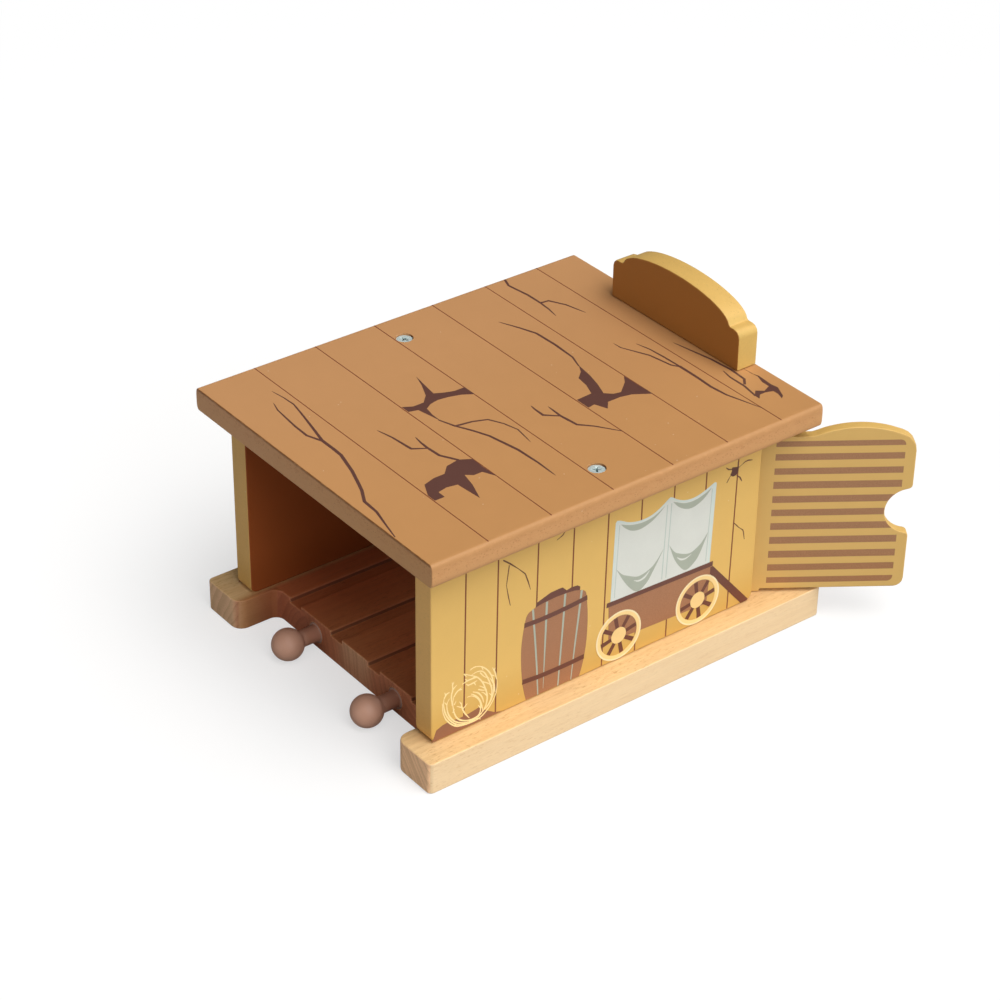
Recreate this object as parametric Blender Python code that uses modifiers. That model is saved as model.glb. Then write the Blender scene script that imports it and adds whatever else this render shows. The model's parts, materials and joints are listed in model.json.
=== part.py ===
"""Wooden toy-railway depot: a twin-track beech base, two painted walls, a roof with a
sign board standing on its rear end, and a pair of batwing doors that swing on steel
pins under the rear roof overhang.

Frame: origin at the centre of the base footprint, on the floor.  +X runs across the
tracks to the right, +Y along the tracks to the rear, where the doors are, +Z up.
Sizes are in millimetres; MM turns them into Blender's metres.
"""

import math

import bmesh
import bpy
from mathutils import Matrix, Vector

MM = 0.001
SIDES = ((-1, "left"), (1, "right"))

# ---- driving dimensions ------------------------------------------------------------
GAP = 0.25                # clearance between pieces that rest on each other
PLAY = 0.3                # radial play round screw shanks, dowels and peg tenons
EDGE = 0.45               # eased edges of the wooden boards
MDF_T = 9.0               # thickness of walls, roof and sign board

BASE_T = 12.5
DECK_HALF_L = 72.0        # half length of the track deck
TRACK_X = 24.66           # centre line of each track

WALL_X = 60.0 - MDF_T / 2             # mid-plane; the outer face is at 60
WALL_Z0 = BASE_T + GAP
ROOF_Z0 = 85.0
ROOF_Z1 = ROOF_Z0 + MDF_T
WALL_Z1 = ROOF_Z0 - GAP

SIGN_Y = 76.5             # mid-plane of the sign board
SIGN_Z0 = ROOF_Z1 + GAP

HINGE_X = 55.58           # hinge axes of the doors
HINGE_Y = 67.82
PIN_R = 1.0
PIN_BORE_R = 1.27
PIN_IN_DOOR = 10.0
PIN_IN_BASE = 7.8
PIN_IN_ROOF = 5.6
PIN_END_PLAY = 0.3        # bore depth beyond the pin's end

SOCKET_IN = 12.1          # coupling pocket centre, in from the deck's end face
PEG_Z = BASE_T / 2
PEG_BALL_OUT = SOCKET_IN  # ball centre, out from the deck's end face
PEG_COLLAR_R = 3.95
PEG_COLLAR_T = 1.25
PEG_COLLAR_INSET = 0.05   # collar's outer face below the deck's end face
PEG_TENON_R = 3.0
PEG_TENON_L = 17.0

SCREW_HEAD_R = 3.1
SCREW_SHANK_R = 1.7
SCREW_BORE_R = SCREW_SHANK_R + PLAY
SINK_R = SCREW_HEAD_R + GAP
SINK_END_R = 1.65         # small end of the countersink's cone
SINK_CONE_D = 1.65        # depth of the cone below the straight part
SINK_OVERLAP = 0.05       # cone and straight part overlap by this much
ROOF_SCREW_Y = -9.3
BASE_SCREW_YS = (-56.0, 38.0)
SIGN_SCREW_X = 21.0

DOWEL_R = 3.0
DOWEL_BORE_R = DOWEL_R + PLAY
DOWEL_YS = (-62.0, 44.0)
DOWEL_IN_WALL = 18.0
DOWEL_IN_ROOF = 5.6
DOWEL_END_PLAY = 0.4

# How far cutters run out past the surface they open.
OVERCUT = 3.0
SHORT_OVERCUT = 2.0
SINK_OVERCUT = 1.0

ROUND_STEPS = 28          # facets round a turned piece that shows
HIDDEN_STEPS = 16         # facets round a bore or fastener inside the wood
PIN_STEPS = 12
PIN_BORE_STEPS = 14
PEG_STEPS = 26

# Euler rotations.
UP = (0.0, 0.0, 0.0)
DOWN = (math.pi, 0.0, 0.0)
FORWARD = (math.pi / 2, 0.0, 0.0)               # turned piece's local +Z along -Y
ALONG_TRACK = (math.pi / 2, 0.0, math.pi / 2)   # outline u along +Y, v along +Z
ACROSS = (math.pi / 2, 0.0, 0.0)                # outline u along +X, v along +Z

# ---- clean start and collections ---------------------------------------------------
for old_object in list(bpy.data.objects):
    bpy.data.objects.remove(old_object, do_unlink=True)

PARTS = bpy.data.collections.new("wooden_railway_depot")
CUTTERS = bpy.data.collections.new("cutters")
bpy.context.scene.collection.children.link(PARTS)
bpy.context.scene.collection.children.link(CUTTERS)


# ---- materials ---------------------------------------------------------------------
def material(name, rgb, roughness, metallic=0.0):
    mat = bpy.data.materials.new(name)
    mat.use_nodes = True
    inputs = mat.node_tree.nodes["Principled BSDF"].inputs
    inputs["Base Color"].default_value = (*rgb, 1.0)
    inputs["Roughness"].default_value = roughness
    inputs["Metallic"].default_value = metallic
    mat.diffuse_color = (*rgb, 1.0)
    return mat


BEECH = material("beech", rgb=(0.86, 0.61, 0.34), roughness=0.55)
WALL_PAINT = material("ochre_paint", rgb=(0.68, 0.42, 0.13), roughness=0.55)
ROOF_PAINT = material("tan_paint", rgb=(0.55, 0.30, 0.12), roughness=0.55)
SIGN_PAINT = material("sign_paint", rgb=(0.19, 0.07, 0.02), roughness=0.6)
DOOR_PAINT = material("door_paint", rgb=(0.62, 0.40, 0.13), roughness=0.55)
PEG_BROWN = material("peg_brown", rgb=(0.38, 0.20, 0.15), roughness=0.4)
ZINC = material("zinc", rgb=(0.62, 0.68, 0.70), roughness=0.3, metallic=1.0)
STEEL = material("steel", rgb=(0.55, 0.55, 0.56), roughness=0.3, metallic=1.0)
DOWEL_BEECH = material("dowel_beech", rgb=(0.80, 0.58, 0.35), roughness=0.6)


# ---- object helpers ----------------------------------------------------------------
def metres(point):
    return [c * MM for c in point]


def add_part(name, mesh, mat, location=(0, 0, 0), rotation=UP):
    part = bpy.data.objects.new(name, mesh)
    PARTS.objects.link(part)
    mesh.materials.append(mat)
    part.location = metres(location)
    part.rotation_euler = rotation
    return part


def add_cutter(name, mesh):
    cutter = bpy.data.objects.new(name, mesh)
    CUTTERS.objects.link(cutter)
    cutter.hide_render = True
    cutter.display_type = "WIRE"
    return cutter


def cutter_from_bmesh(name, bm):
    mesh = bpy.data.meshes.new(name)
    bm.to_mesh(mesh)
    bm.free()
    return add_cutter(name, mesh)


def bevel(part, width, angle=35.0):
    mod = part.modifiers.new("eased_edges", "BEVEL")
    mod.width = width * MM
    mod.segments = 2
    mod.limit_method = "ANGLE"
    mod.angle_limit = math.radians(angle)
    mod.harden_normals = False


def cut(part, cutter):
    mod = part.modifiers.new("cut_" + cutter.name, "BOOLEAN")
    mod.operation = "DIFFERENCE"
    mod.solver = "EXACT"
    mod.object = cutter


def rounded(corners, steps=5):
    """Closed outline from (u, v, radius) corners, each replaced by an arc."""
    outline = []
    for i, (u, v, radius) in enumerate(corners):
        if radius <= 0.0:
            outline.append((u, v))
            continue
        corner = Vector((u, v))
        to_last = (Vector(corners[i - 1][:2]) - corner).normalized()
        to_next = (Vector(corners[(i + 1) % len(corners)][:2]) - corner).normalized()
        half = math.acos(max(-1.0, min(1.0, to_last.dot(to_next)))) / 2
        back = radius / math.tan(half)
        centre = corner + (to_last + to_next).normalized() * (radius / math.sin(half))
        start = corner + to_last * back - centre
        end = corner + to_next * back - centre
        turn = math.atan2(start.x * end.y - start.y * end.x, start.dot(end))
        for k in range(steps + 1):
            cos, sin = math.cos(turn * k / steps), math.sin(turn * k / steps)
            outline.append((centre.x + start.x * cos - start.y * sin,
                            centre.y + start.x * sin + start.y * cos))
    return outline


def board_mesh(name, outline, thickness):
    """Mesh of a filled 2D outline, extruded to both sides of its plane."""
    curve = bpy.data.curves.new(name, "CURVE")
    curve.dimensions = "2D"
    curve.fill_mode = "BOTH"
    curve.extrude = thickness * MM / 2
    spline = curve.splines.new("POLY")
    spline.points.add(len(outline) - 1)
    for point, (u, v) in zip(spline.points, outline):
        point.co = (u * MM, v * MM, 0.0, 1.0)
    spline.use_cyclic_u = True
    source = bpy.data.objects.new(name + "_outline", curve)
    bpy.context.scene.collection.objects.link(source)
    bpy.context.view_layer.update()
    mesh = bpy.data.meshes.new_from_object(
        source.evaluated_get(bpy.context.evaluated_depsgraph_get()))
    bpy.data.objects.remove(source, do_unlink=True)
    bpy.data.curves.remove(curve)

    # Weld the caps to the sides and merge the caps' triangles.
    bm = bmesh.new()
    bm.from_mesh(mesh)
    bmesh.ops.remove_doubles(bm, verts=bm.verts, dist=1e-6)
    bmesh.ops.dissolve_limit(bm, angle_limit=math.radians(0.5),
                             verts=bm.verts, edges=bm.edges)
    bmesh.ops.recalc_face_normals(bm, faces=bm.faces)
    bm.to_mesh(mesh)
    bm.free()
    mesh.name = name
    return mesh


def board(name, outline, thickness, mat, location=(0, 0, 0), rotation=UP):
    return add_part(name, board_mesh(name, outline, thickness), mat, location, rotation)


def turned(name, profile, mat, location, rotation, steps=ROUND_STEPS):
    """A (radius, height) profile, run down the outer side, screwed round local Z."""
    mesh = bpy.data.meshes.new(name)
    mesh.from_pydata([(radius * MM, 0.0, height * MM) for radius, height in profile],
                     [(i, i + 1) for i in range(len(profile) - 1)], [])
    part = add_part(name, mesh, mat, location, rotation)
    mod = part.modifiers.new("turned", "SCREW")
    mod.axis = "Z"
    mod.angle = math.tau
    mod.steps = steps
    mod.render_steps = steps
    mod.use_merge_vertices = True
    mod.merge_threshold = 0.00001
    mod.use_smooth_shade = True
    return part


def rod(name, radius, chamfer, z0, z1, mat, x=0, y=0, steps=HIDDEN_STEPS):
    """An upright rod with chamfered ends."""
    profile = [(0, z1), (radius - chamfer, z1), (radius, z1 - chamfer),
               (radius, z0 + chamfer), (radius - chamfer, z0), (0, z0)]
    return turned(name, profile, mat, (x, y, 0), UP, steps)


# ---- cutter helpers ----------------------------------------------------------------
def upright(x, y, z0, z1, radius, end_radius=None):
    """Entry for cylinders(): a vertical bore or cone from z0 to z1."""
    return ((x, y, z0), (x, y, z1), radius, radius if end_radius is None else end_radius)


def countersink(x, y, surface_z, inward, depth):
    """Straight and conical entries sunk into a surface; inward is +1 up, -1 down."""
    cone_z0 = surface_z + inward * (depth - SINK_OVERLAP)
    cone_z1 = surface_z + inward * (depth + SINK_CONE_D)
    return (upright(x, y, surface_z - inward * SINK_OVERCUT,
                    surface_z + inward * depth, SINK_R),
            upright(x, y, cone_z0, cone_z1, SINK_R, SINK_END_R))


def cylinders(name, entries, segments=HIDDEN_STEPS):
    """Cutter of separate cylinders or cones: (start, end, start radius, end radius)."""
    bm = bmesh.new()
    for start, end, start_radius, end_radius in entries:
        start = Vector(start) * MM
        end = Vector(end) * MM
        axis = end - start
        turn = axis.to_track_quat("Z", "Y").to_matrix().to_4x4()
        bmesh.ops.create_cone(bm, cap_ends=True, segments=segments,
                              radius1=start_radius * MM, radius2=end_radius * MM,
                              depth=axis.length,
                              matrix=Matrix.Translation((start + end) / 2) @ turn)
    return cutter_from_bmesh(name, bm)


def boxes(name, entries):
    """Cutter of separate boxes given by two opposite corners."""
    bm = bmesh.new()
    for low, high in entries:
        low = Vector(low) * MM
        high = Vector(high) * MM
        bmesh.ops.create_cube(bm, size=1.0, matrix=Matrix.Translation((low + high) / 2)
                              @ Matrix.Diagonal((*(high - low), 1.0)))
    return cutter_from_bmesh(name, bm)


# ---- base --------------------------------------------------------------------------
BASE_HALF_W = 69.3
BASE_HALF_L = 89.7        # half length of the strips either side of the deck
BASE_CORNER_R = 2.0
RECESS_HALF_W = 49.2      # recess between the strips at each end of the deck
RECESS_MOUTH_R = 4.6
RECESS_INNER_R = 3.6

GROOVE_OFFSET = 13.0      # groove centre from the track's centre line
GROOVE_W = 7.0
GROOVE_D = 2.0
GROOVE_OVERRUN = 8.0      # groove cutter past the deck's ends
GROOVE_CUT_RISE = 5.0     # groove cutter above the deck

SOCKET_R = 6.9
SOCKET_NECK_HALF_W = 3.7
SOCKET_OVERRUN = 6.0
SOCKET_CUT_H = 30.0
SOCKET_STEPS = 26

PEG_BORE_END_PLAY = 0.5
BASE_SINK_D = 0.95        # straight part of the countersinks under the base


def base_outline():
    front = [(-BASE_HALF_W, -BASE_HALF_L, BASE_CORNER_R),
             (-RECESS_HALF_W, -BASE_HALF_L, RECESS_MOUTH_R),
             (-RECESS_HALF_W, -DECK_HALF_L, RECESS_INNER_R),
             (RECESS_HALF_W, -DECK_HALF_L, RECESS_INNER_R),
             (RECESS_HALF_W, -BASE_HALF_L, RECESS_MOUTH_R),
             (BASE_HALF_W, -BASE_HALF_L, BASE_CORNER_R)]
    return rounded(front + [(-x, -y, radius) for x, y, radius in front])


def socket_outline(centre_x):
    """Keyhole for a neighbour's ball peg: round pocket and a neck to the end face."""
    centre_y = DECK_HALF_L - SOCKET_IN
    join = math.asin(SOCKET_NECK_HALF_W / SOCKET_R)
    points = []
    for k in range(SOCKET_STEPS + 1):
        angle = math.pi / 2 + join + (math.tau - 2 * join) * k / SOCKET_STEPS
        points.append((centre_x + SOCKET_R * math.cos(angle),
                       centre_y + SOCKET_R * math.sin(angle)))
    end_y = DECK_HALF_L + SOCKET_OVERRUN
    return points + [(centre_x + SOCKET_NECK_HALF_W, end_y),
                     (centre_x - SOCKET_NECK_HALF_W, end_y)]


def cut_tracks(base):
    cut(base, boxes("track_grooves", [
        ((side * TRACK_X + offset - GROOVE_W / 2, -DECK_HALF_L - GROOVE_OVERRUN,
          BASE_T - GROOVE_D),
         (side * TRACK_X + offset + GROOVE_W / 2, DECK_HALF_L + GROOVE_OVERRUN,
          BASE_T + GROOVE_CUT_RISE))
        for side in (-1, 1) for offset in (-GROOVE_OFFSET, GROOVE_OFFSET)]))
    for side, word in SIDES:
        name = word + "_coupling_pocket"
        pocket = add_cutter(name, board_mesh(name, socket_outline(side * TRACK_X),
                                             SOCKET_CUT_H))
        pocket.location = metres((0, 0, BASE_T / 2))
        cut(base, pocket)


def bore_base(base):
    bores = []
    collar_seats = []
    sinks = []
    for side in (-1, 1):
        wall_x, track_x = side * WALL_X, side * TRACK_X
        for y in BASE_SCREW_YS:
            bores.append(upright(wall_x, y, -SINK_OVERCUT, BASE_T + OVERCUT, SCREW_BORE_R))
            sinks.append(countersink(wall_x, y, 0.0, 1, BASE_SINK_D))
        bores.append(upright(side * HINGE_X, HINGE_Y, BASE_T - PIN_IN_BASE - PIN_END_PLAY,
                             BASE_T + SHORT_OVERCUT, PIN_BORE_R))
        tenon_bore_r = PEG_TENON_R + PLAY
        bores.append(((track_x, -DECK_HALF_L - OVERCUT, PEG_Z),
                      (track_x, -DECK_HALF_L + PEG_TENON_L + PEG_BORE_END_PLAY, PEG_Z),
                      tenon_bore_r, tenon_bore_r))
        seat_r = PEG_COLLAR_R + GAP
        seat_depth = PEG_COLLAR_T + GAP + PEG_COLLAR_INSET
        collar_seats.append(((track_x, -DECK_HALF_L - SHORT_OVERCUT, PEG_Z),
                             (track_x, -DECK_HALF_L + seat_depth, PEG_Z),
                             seat_r, seat_r))
    straight, conical = zip(*sinks)
    cut(base, cylinders("base_bores", bores))
    cut(base, cylinders("peg_collar_seats", collar_seats))
    cut(base, cylinders("base_countersinks_straight", straight))
    cut(base, cylinders("base_countersinks_conical", conical))


def build_base():
    base = board("base", base_outline(), BASE_T, BEECH, location=(0, 0, BASE_T / 2))
    cut_tracks(base)
    bevel(base, EDGE)
    bore_base(base)


# ---- walls -------------------------------------------------------------------------
WALL_Y0 = -82.3
WALL_Y1 = 63.3
WALL_CORNER_R = 3.0
ROOF_SCREW_BORE_D = 20.5  # depth into the wall's top edge
BASE_SCREW_BORE_D = 17.5  # depth into the wall's bottom edge


def build_wall(side, word):
    outline = rounded([(y, z, WALL_CORNER_R) for y, z in (
        (WALL_Y0, WALL_Z0), (WALL_Y1, WALL_Z0), (WALL_Y1, WALL_Z1), (WALL_Y0, WALL_Z1))])
    x = side * WALL_X
    wall = board(word + "_wall", outline, MDF_T, WALL_PAINT,
                 location=(x, 0, 0), rotation=ALONG_TRACK)
    bevel(wall, EDGE)
    top = WALL_Z1 + OVERCUT
    bores = [upright(x, ROOF_SCREW_Y, WALL_Z1 - ROOF_SCREW_BORE_D, top, SCREW_BORE_R)]
    bores += [upright(x, y, WALL_Z0 - OVERCUT, WALL_Z0 + BASE_SCREW_BORE_D, SCREW_BORE_R)
              for y in BASE_SCREW_YS]
    bores += [upright(x, y, WALL_Z1 - DOWEL_IN_WALL - DOWEL_END_PLAY, top, DOWEL_BORE_R)
              for y in DOWEL_YS]
    cut(wall, cylinders(word + "_wall_bores", bores))


# ---- roof --------------------------------------------------------------------------
ROOF_HALF_W = 70.5        # at the crown of its moulded long edges
ROOF_Y0 = -89.5
ROOF_Y1 = 81.4
MOULD_D = 2.1             # depth of the moulded edge
MOULD_POWER = 3.6         # squareness of its curve
MOULD_STEPS = 18
ROOF_BEVEL = 0.3
ROOF_BEVEL_ANGLE = 50.0   # leaves the moulding's facets alone
ROOF_TOP_SINK_D = 1.15
ROOF_UNDER_SINK_D = 1.05


def roof_section():
    """Cross-section of the roof board: flat faces, softly moulded long edges."""
    mid_z = (ROOF_Z0 + ROOF_Z1) / 2
    edge = []
    for k in range(MOULD_STEPS + 1):
        angle = -math.pi / 2 + math.pi * k / MOULD_STEPS
        out = abs(math.cos(angle)) ** (2 / MOULD_POWER)
        lift = math.copysign(abs(math.sin(angle)) ** (2 / MOULD_POWER), math.sin(angle))
        edge.append((ROOF_HALF_W - MOULD_D + MOULD_D * out, mid_z + MDF_T / 2 * lift))
    return edge + [(-x, z) for x, z in reversed(edge)]


def build_roof():
    roof = board("roof", roof_section(), ROOF_Y1 - ROOF_Y0, ROOF_PAINT,
                 location=(0, (ROOF_Y0 + ROOF_Y1) / 2, 0), rotation=ACROSS)
    bevel(roof, ROOF_BEVEL, ROOF_BEVEL_ANGLE)
    below, above = ROOF_Z0 - OVERCUT, ROOF_Z1 + OVERCUT
    bores = []
    top_sinks = []
    under_sinks = []
    cones = []
    for side in (-1, 1):
        wall_x, sign_x = side * WALL_X, side * SIGN_SCREW_X
        bores.append(upright(wall_x, ROOF_SCREW_Y, below, above, SCREW_BORE_R))
        bores += [upright(wall_x, y, below, ROOF_Z0 + DOWEL_IN_ROOF + DOWEL_END_PLAY,
                          DOWEL_BORE_R) for y in DOWEL_YS]
        bores.append(upright(side * HINGE_X, HINGE_Y, below,
                             ROOF_Z0 + PIN_IN_ROOF + PIN_END_PLAY, PIN_BORE_R))
        bores.append(upright(sign_x, SIGN_Y, below, above, SCREW_BORE_R))
        straight, cone = countersink(wall_x, ROOF_SCREW_Y, ROOF_Z1, -1, ROOF_TOP_SINK_D)
        top_sinks.append(straight)
        cones.append(cone)
        straight, cone = countersink(sign_x, SIGN_Y, ROOF_Z0, 1, ROOF_UNDER_SINK_D)
        under_sinks.append(straight)
        cones.append(cone)
    cut(roof, cylinders("roof_bores", bores))
    cut(roof, cylinders("roof_countersinks_top", top_sinks, segments=ROUND_STEPS))
    cut(roof, cylinders("roof_countersinks_straight", under_sinks))
    cut(roof, cylinders("roof_countersinks_conical", cones))


# ---- sign board --------------------------------------------------------------------
SIGN_HALF_W = 35.3
SIGN_SHOULDER_Z = 110.1
SIGN_SHOULDER_R = 3.0
SIGN_ARCH_HALF_W = 29.5
SIGN_ARCH_RISE = 8.3
SIGN_ARCH_LIFT = 0.55     # the arch starts this far above the shoulders
SIGN_ARCH_STEPS = 22
SIGN_FOOT_OUT = 0.6       # shoulder's inner end, out from the arch
SIGN_FOOT_R = 0.9
SIGN_BORE_D = 13.0


def sign_outline():
    """Square shoulders with a low elliptical arch between them."""
    foot_x = SIGN_ARCH_HALF_W + SIGN_FOOT_OUT
    start = math.asin(SIGN_ARCH_LIFT / SIGN_ARCH_RISE)
    corners = [(-SIGN_HALF_W, SIGN_Z0, 0.0), (SIGN_HALF_W, SIGN_Z0, 0.0),
               (SIGN_HALF_W, SIGN_SHOULDER_Z, SIGN_SHOULDER_R),
               (foot_x, SIGN_SHOULDER_Z, SIGN_FOOT_R)]
    for k in range(SIGN_ARCH_STEPS + 1):
        angle = start + (math.pi - 2 * start) * k / SIGN_ARCH_STEPS
        corners.append((SIGN_ARCH_HALF_W * math.cos(angle),
                        SIGN_SHOULDER_Z + SIGN_ARCH_RISE * math.sin(angle), 0.0))
    corners += [(-foot_x, SIGN_SHOULDER_Z, SIGN_FOOT_R),
                (-SIGN_HALF_W, SIGN_SHOULDER_Z, SIGN_SHOULDER_R)]
    return rounded(corners, steps=3)


def build_sign():
    sign = board("sign_board", sign_outline(), MDF_T, SIGN_PAINT,
                 location=(0, SIGN_Y, 0), rotation=ACROSS)
    bevel(sign, EDGE)
    cut(sign, cylinders("sign_bores", [
        upright(side * SIGN_SCREW_X, SIGN_Y, SIGN_Z0 - OVERCUT, SIGN_Z0 + SIGN_BORE_D,
                SCREW_BORE_R) for side in (-1, 1)]))


# ---- doors and their pins ----------------------------------------------------------
# Lengths along the leaf are measured from the hinge axis.
DOOR_SWING = {"left": 0.0, "right": 124.6}      # degrees away from closed
DOOR_T = 4.0
DOOR_L = 55.18            # to the free edge
DOOR_HEEL = 3.9           # to the hinge-side edge
DOOR_Z0 = 14.05           # bottom edge of the leaf
DOOR_CORNER_R = 3.6       # bottom corner at the free edge

LUG_Z0 = 12.85            # foot that turns on the base
LUG_Z1 = 84.4             # head that turns under the roof
LUG_W = 2.0               # foot's edge, towards the leaf
LUG_SLANT = 0.25          # run-out of that edge up to the leaf
LUG_HEEL_R = 0.6
LUG_FOOT_R = 0.45
LUG_ROOT_R = 0.35

# Upper edge: falls from the head into a valley, then rises onto an arch.
FALL_START = 3.2
FALL_L = 7.0
RISE_START = 14.0
RISE_L = 7.0
VALLEY_Z = 79.3
ARCH_Z = 82.9             # crown of the arch
ARCH_CENTRE = 34.3
ARCH_R = 40.0
TOP_STEPS = 22
TOP_CORNER_L = 7.2        # the upper edge runs straight over this last length
TOP_CORNER_R = 7.6
SLOPE_STEP = 0.5          # interval for the slope of that straight end

# Round notch in the free edge.
NOTCH_Z = 47.1
NOTCH_R = 9.4
NOTCH_START = math.radians(15)
NOTCH_STEPS = 18
NOTCH_LIP = 0.25          # lip corners beyond the notch radius
NOTCH_LIP_R = 1.7

PIN_CHAMFER = 0.2


def door_top(along):
    """Height of the door's upper edge at a distance along the leaf."""
    if along < RISE_START:
        t = min(1.0, max(0.0, (along - FALL_START) / FALL_L))
        return VALLEY_Z + (LUG_Z1 - VALLEY_Z) * (1 + math.cos(math.pi * t)) / 2
    arch = ARCH_Z - (ARCH_R - math.sqrt(ARCH_R ** 2 - (along - ARCH_CENTRE) ** 2))
    t = min(1.0, (along - RISE_START) / RISE_L)
    blend = t * t * (3 - 2 * t)
    return VALLEY_Z * (1 - blend) + max(arch, VALLEY_Z) * blend


def door_outline():
    corners = [(-DOOR_HEEL, LUG_Z0, LUG_HEEL_R), (LUG_W, LUG_Z0, LUG_FOOT_R),
               (LUG_W + LUG_SLANT, DOOR_Z0, LUG_ROOT_R), (DOOR_L, DOOR_Z0, DOOR_CORNER_R),
               (DOOR_L, NOTCH_Z - NOTCH_R - NOTCH_LIP, NOTCH_LIP_R)]
    for k in range(NOTCH_STEPS + 1):
        angle = (-math.pi / 2 - NOTCH_START
                 - (math.pi - 2 * NOTCH_START) * k / NOTCH_STEPS)
        corners.append((DOOR_L + NOTCH_R * math.cos(angle),
                        NOTCH_Z + NOTCH_R * math.sin(angle), 0.0))
    corners.append((DOOR_L, NOTCH_Z + NOTCH_R + NOTCH_LIP, NOTCH_LIP_R))

    straight_from = DOOR_L - TOP_CORNER_L
    slope = (door_top(straight_from) - door_top(straight_from - SLOPE_STEP)) / SLOPE_STEP
    corners.append((DOOR_L, door_top(straight_from) + slope * (DOOR_L - straight_from),
                    TOP_CORNER_R))
    for k in range(1, TOP_STEPS + 1):
        along = straight_from + (FALL_START - straight_from) * k / TOP_STEPS
        corners.append((along, door_top(along), 0.0))
    corners.append((-DOOR_HEEL, LUG_Z1, LUG_HEEL_R))
    return rounded(corners, steps=4)


def build_door(side, word):
    """Leaf, bores and pins, all hung on an empty at the hinge axis."""
    pivot = bpy.data.objects.new(word + "_door_axis", None)
    pivot.empty_display_size = 0.01
    PARTS.objects.link(pivot)
    pivot.location = metres((side * HINGE_X, HINGE_Y, 0.0))
    swing = math.radians(DOOR_SWING[word])
    pivot.rotation_euler = (0.0, 0.0, swing if side < 0 else math.pi - swing)

    door = board(word + "_door", door_outline(), DOOR_T, DOOR_PAINT, rotation=ACROSS)
    door.parent = pivot
    bevel(door, EDGE)
    bore_depth = PIN_IN_DOOR + PIN_END_PLAY
    bores = cylinders(word + "_door_bores", [
        upright(0, 0, LUG_Z0 - SHORT_OVERCUT, LUG_Z0 + bore_depth, PIN_BORE_R),
        upright(0, 0, LUG_Z1 + SHORT_OVERCUT, LUG_Z1 - bore_depth, PIN_BORE_R)],
        segments=PIN_BORE_STEPS)
    bores.parent = pivot
    cut(door, bores)

    for place, z0, z1 in (("lower", BASE_T - PIN_IN_BASE, LUG_Z0 + PIN_IN_DOOR),
                          ("upper", LUG_Z1 - PIN_IN_DOOR, ROOF_Z0 + PIN_IN_ROOF)):
        pin = rod("%s_door_%s_pin" % (word, place), PIN_R, PIN_CHAMFER, z0, z1, STEEL,
                  steps=PIN_STEPS)
        pin.parent = pivot


# ---- ball pegs ---------------------------------------------------------------------
BALL_R = 6.1
BALL_STEPS = 11
PEG_NECK_R = 3.2
NECK_FLARE = 0.15         # neck's extra radius where it meets the ball
NECK_FLARE_L = 0.5
COLLAR_CHAMFER = 0.15
TENON_CHAMFER = 0.6


def peg_profile():
    """From the ball's outer pole down the neck to the tenon's end; height 0 is the
    deck's end face."""
    last = math.pi - math.asin((PEG_NECK_R + NECK_FLARE) / BALL_R)
    profile = [(0.0, PEG_BALL_OUT + BALL_R)]
    for k in range(1, BALL_STEPS + 1):
        angle = last * k / BALL_STEPS
        profile.append((BALL_R * math.sin(angle), PEG_BALL_OUT + BALL_R * math.cos(angle)))
    neck_top = PEG_BALL_OUT + BALL_R * math.cos(last)
    return profile + [
        (PEG_NECK_R, neck_top - NECK_FLARE_L), (PEG_NECK_R, -PEG_COLLAR_INSET),
        (PEG_COLLAR_R - COLLAR_CHAMFER, -PEG_COLLAR_INSET),
        (PEG_COLLAR_R, -PEG_COLLAR_INSET - COLLAR_CHAMFER), (PEG_COLLAR_R, -PEG_COLLAR_T),
        (PEG_TENON_R, -PEG_COLLAR_T), (PEG_TENON_R, TENON_CHAMFER - PEG_TENON_L),
        (PEG_TENON_R - TENON_CHAMFER, -PEG_TENON_L), (0.0, -PEG_TENON_L)]


def build_peg(side, word):
    turned(word + "_track_peg", peg_profile(), PEG_BROWN,
           (side * TRACK_X, -DECK_HALF_L, PEG_Z), FORWARD, PEG_STEPS)


# ---- fasteners ---------------------------------------------------------------------
# Rim of the screw head: (radius from SCREW_HEAD_R, height).
SCREW_RIM = ((-0.25, 0.0), (0.0, -0.22), (-0.1, -0.5))
SCREW_HEAD_D = 2.1        # depth of the countersunk head
SCREW_POINT_L = 3.0
SCREW_TIP_R = 0.25
WALL_SCREW_L = 28.0       # screws into the walls, from roof and base
SIGN_SCREW_L = 20.0

# Head depths below the wood's surface.
ROOF_SCREW_INSET = 0.55
BASE_SCREW_INSET = 0.4
SIGN_SCREW_INSET = 0.5

# Turn of the cross recesses, in radians.
SCREW_SPIN = {"left": 0.5, "right": 0.9}
BASE_SCREW_SPIN = 0.6     # added to the above
SIGN_SCREW_SPIN = 1.1

# Cross recess: each blade narrows to these fractions at its bottom.
BLADE_HALF_L = 1.75
BLADE_W = 0.75
BLADE_D = 1.5
BLADE_RISE = 0.6          # above the head
BLADE_LOW_L = 0.35
BLADE_LOW_W = 0.75

DOWEL_CHAMFER = 0.6


def recess_blade(name, matrix):
    """One tapered blade of a cross recess, as a cutter."""
    bm = bmesh.new()
    bmesh.ops.create_cube(bm, size=1.0)
    for vertex in bm.verts:
        low = vertex.co.z < 0
        vertex.co.x *= 2 * BLADE_HALF_L * (BLADE_LOW_L if low else 1.0) * MM
        vertex.co.y *= BLADE_W * (BLADE_LOW_W if low else 1.0) * MM
        vertex.co.z = (-BLADE_D if low else BLADE_RISE) * MM
    blade = cutter_from_bmesh(name, bm)
    blade.matrix_world = matrix
    return blade


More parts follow.
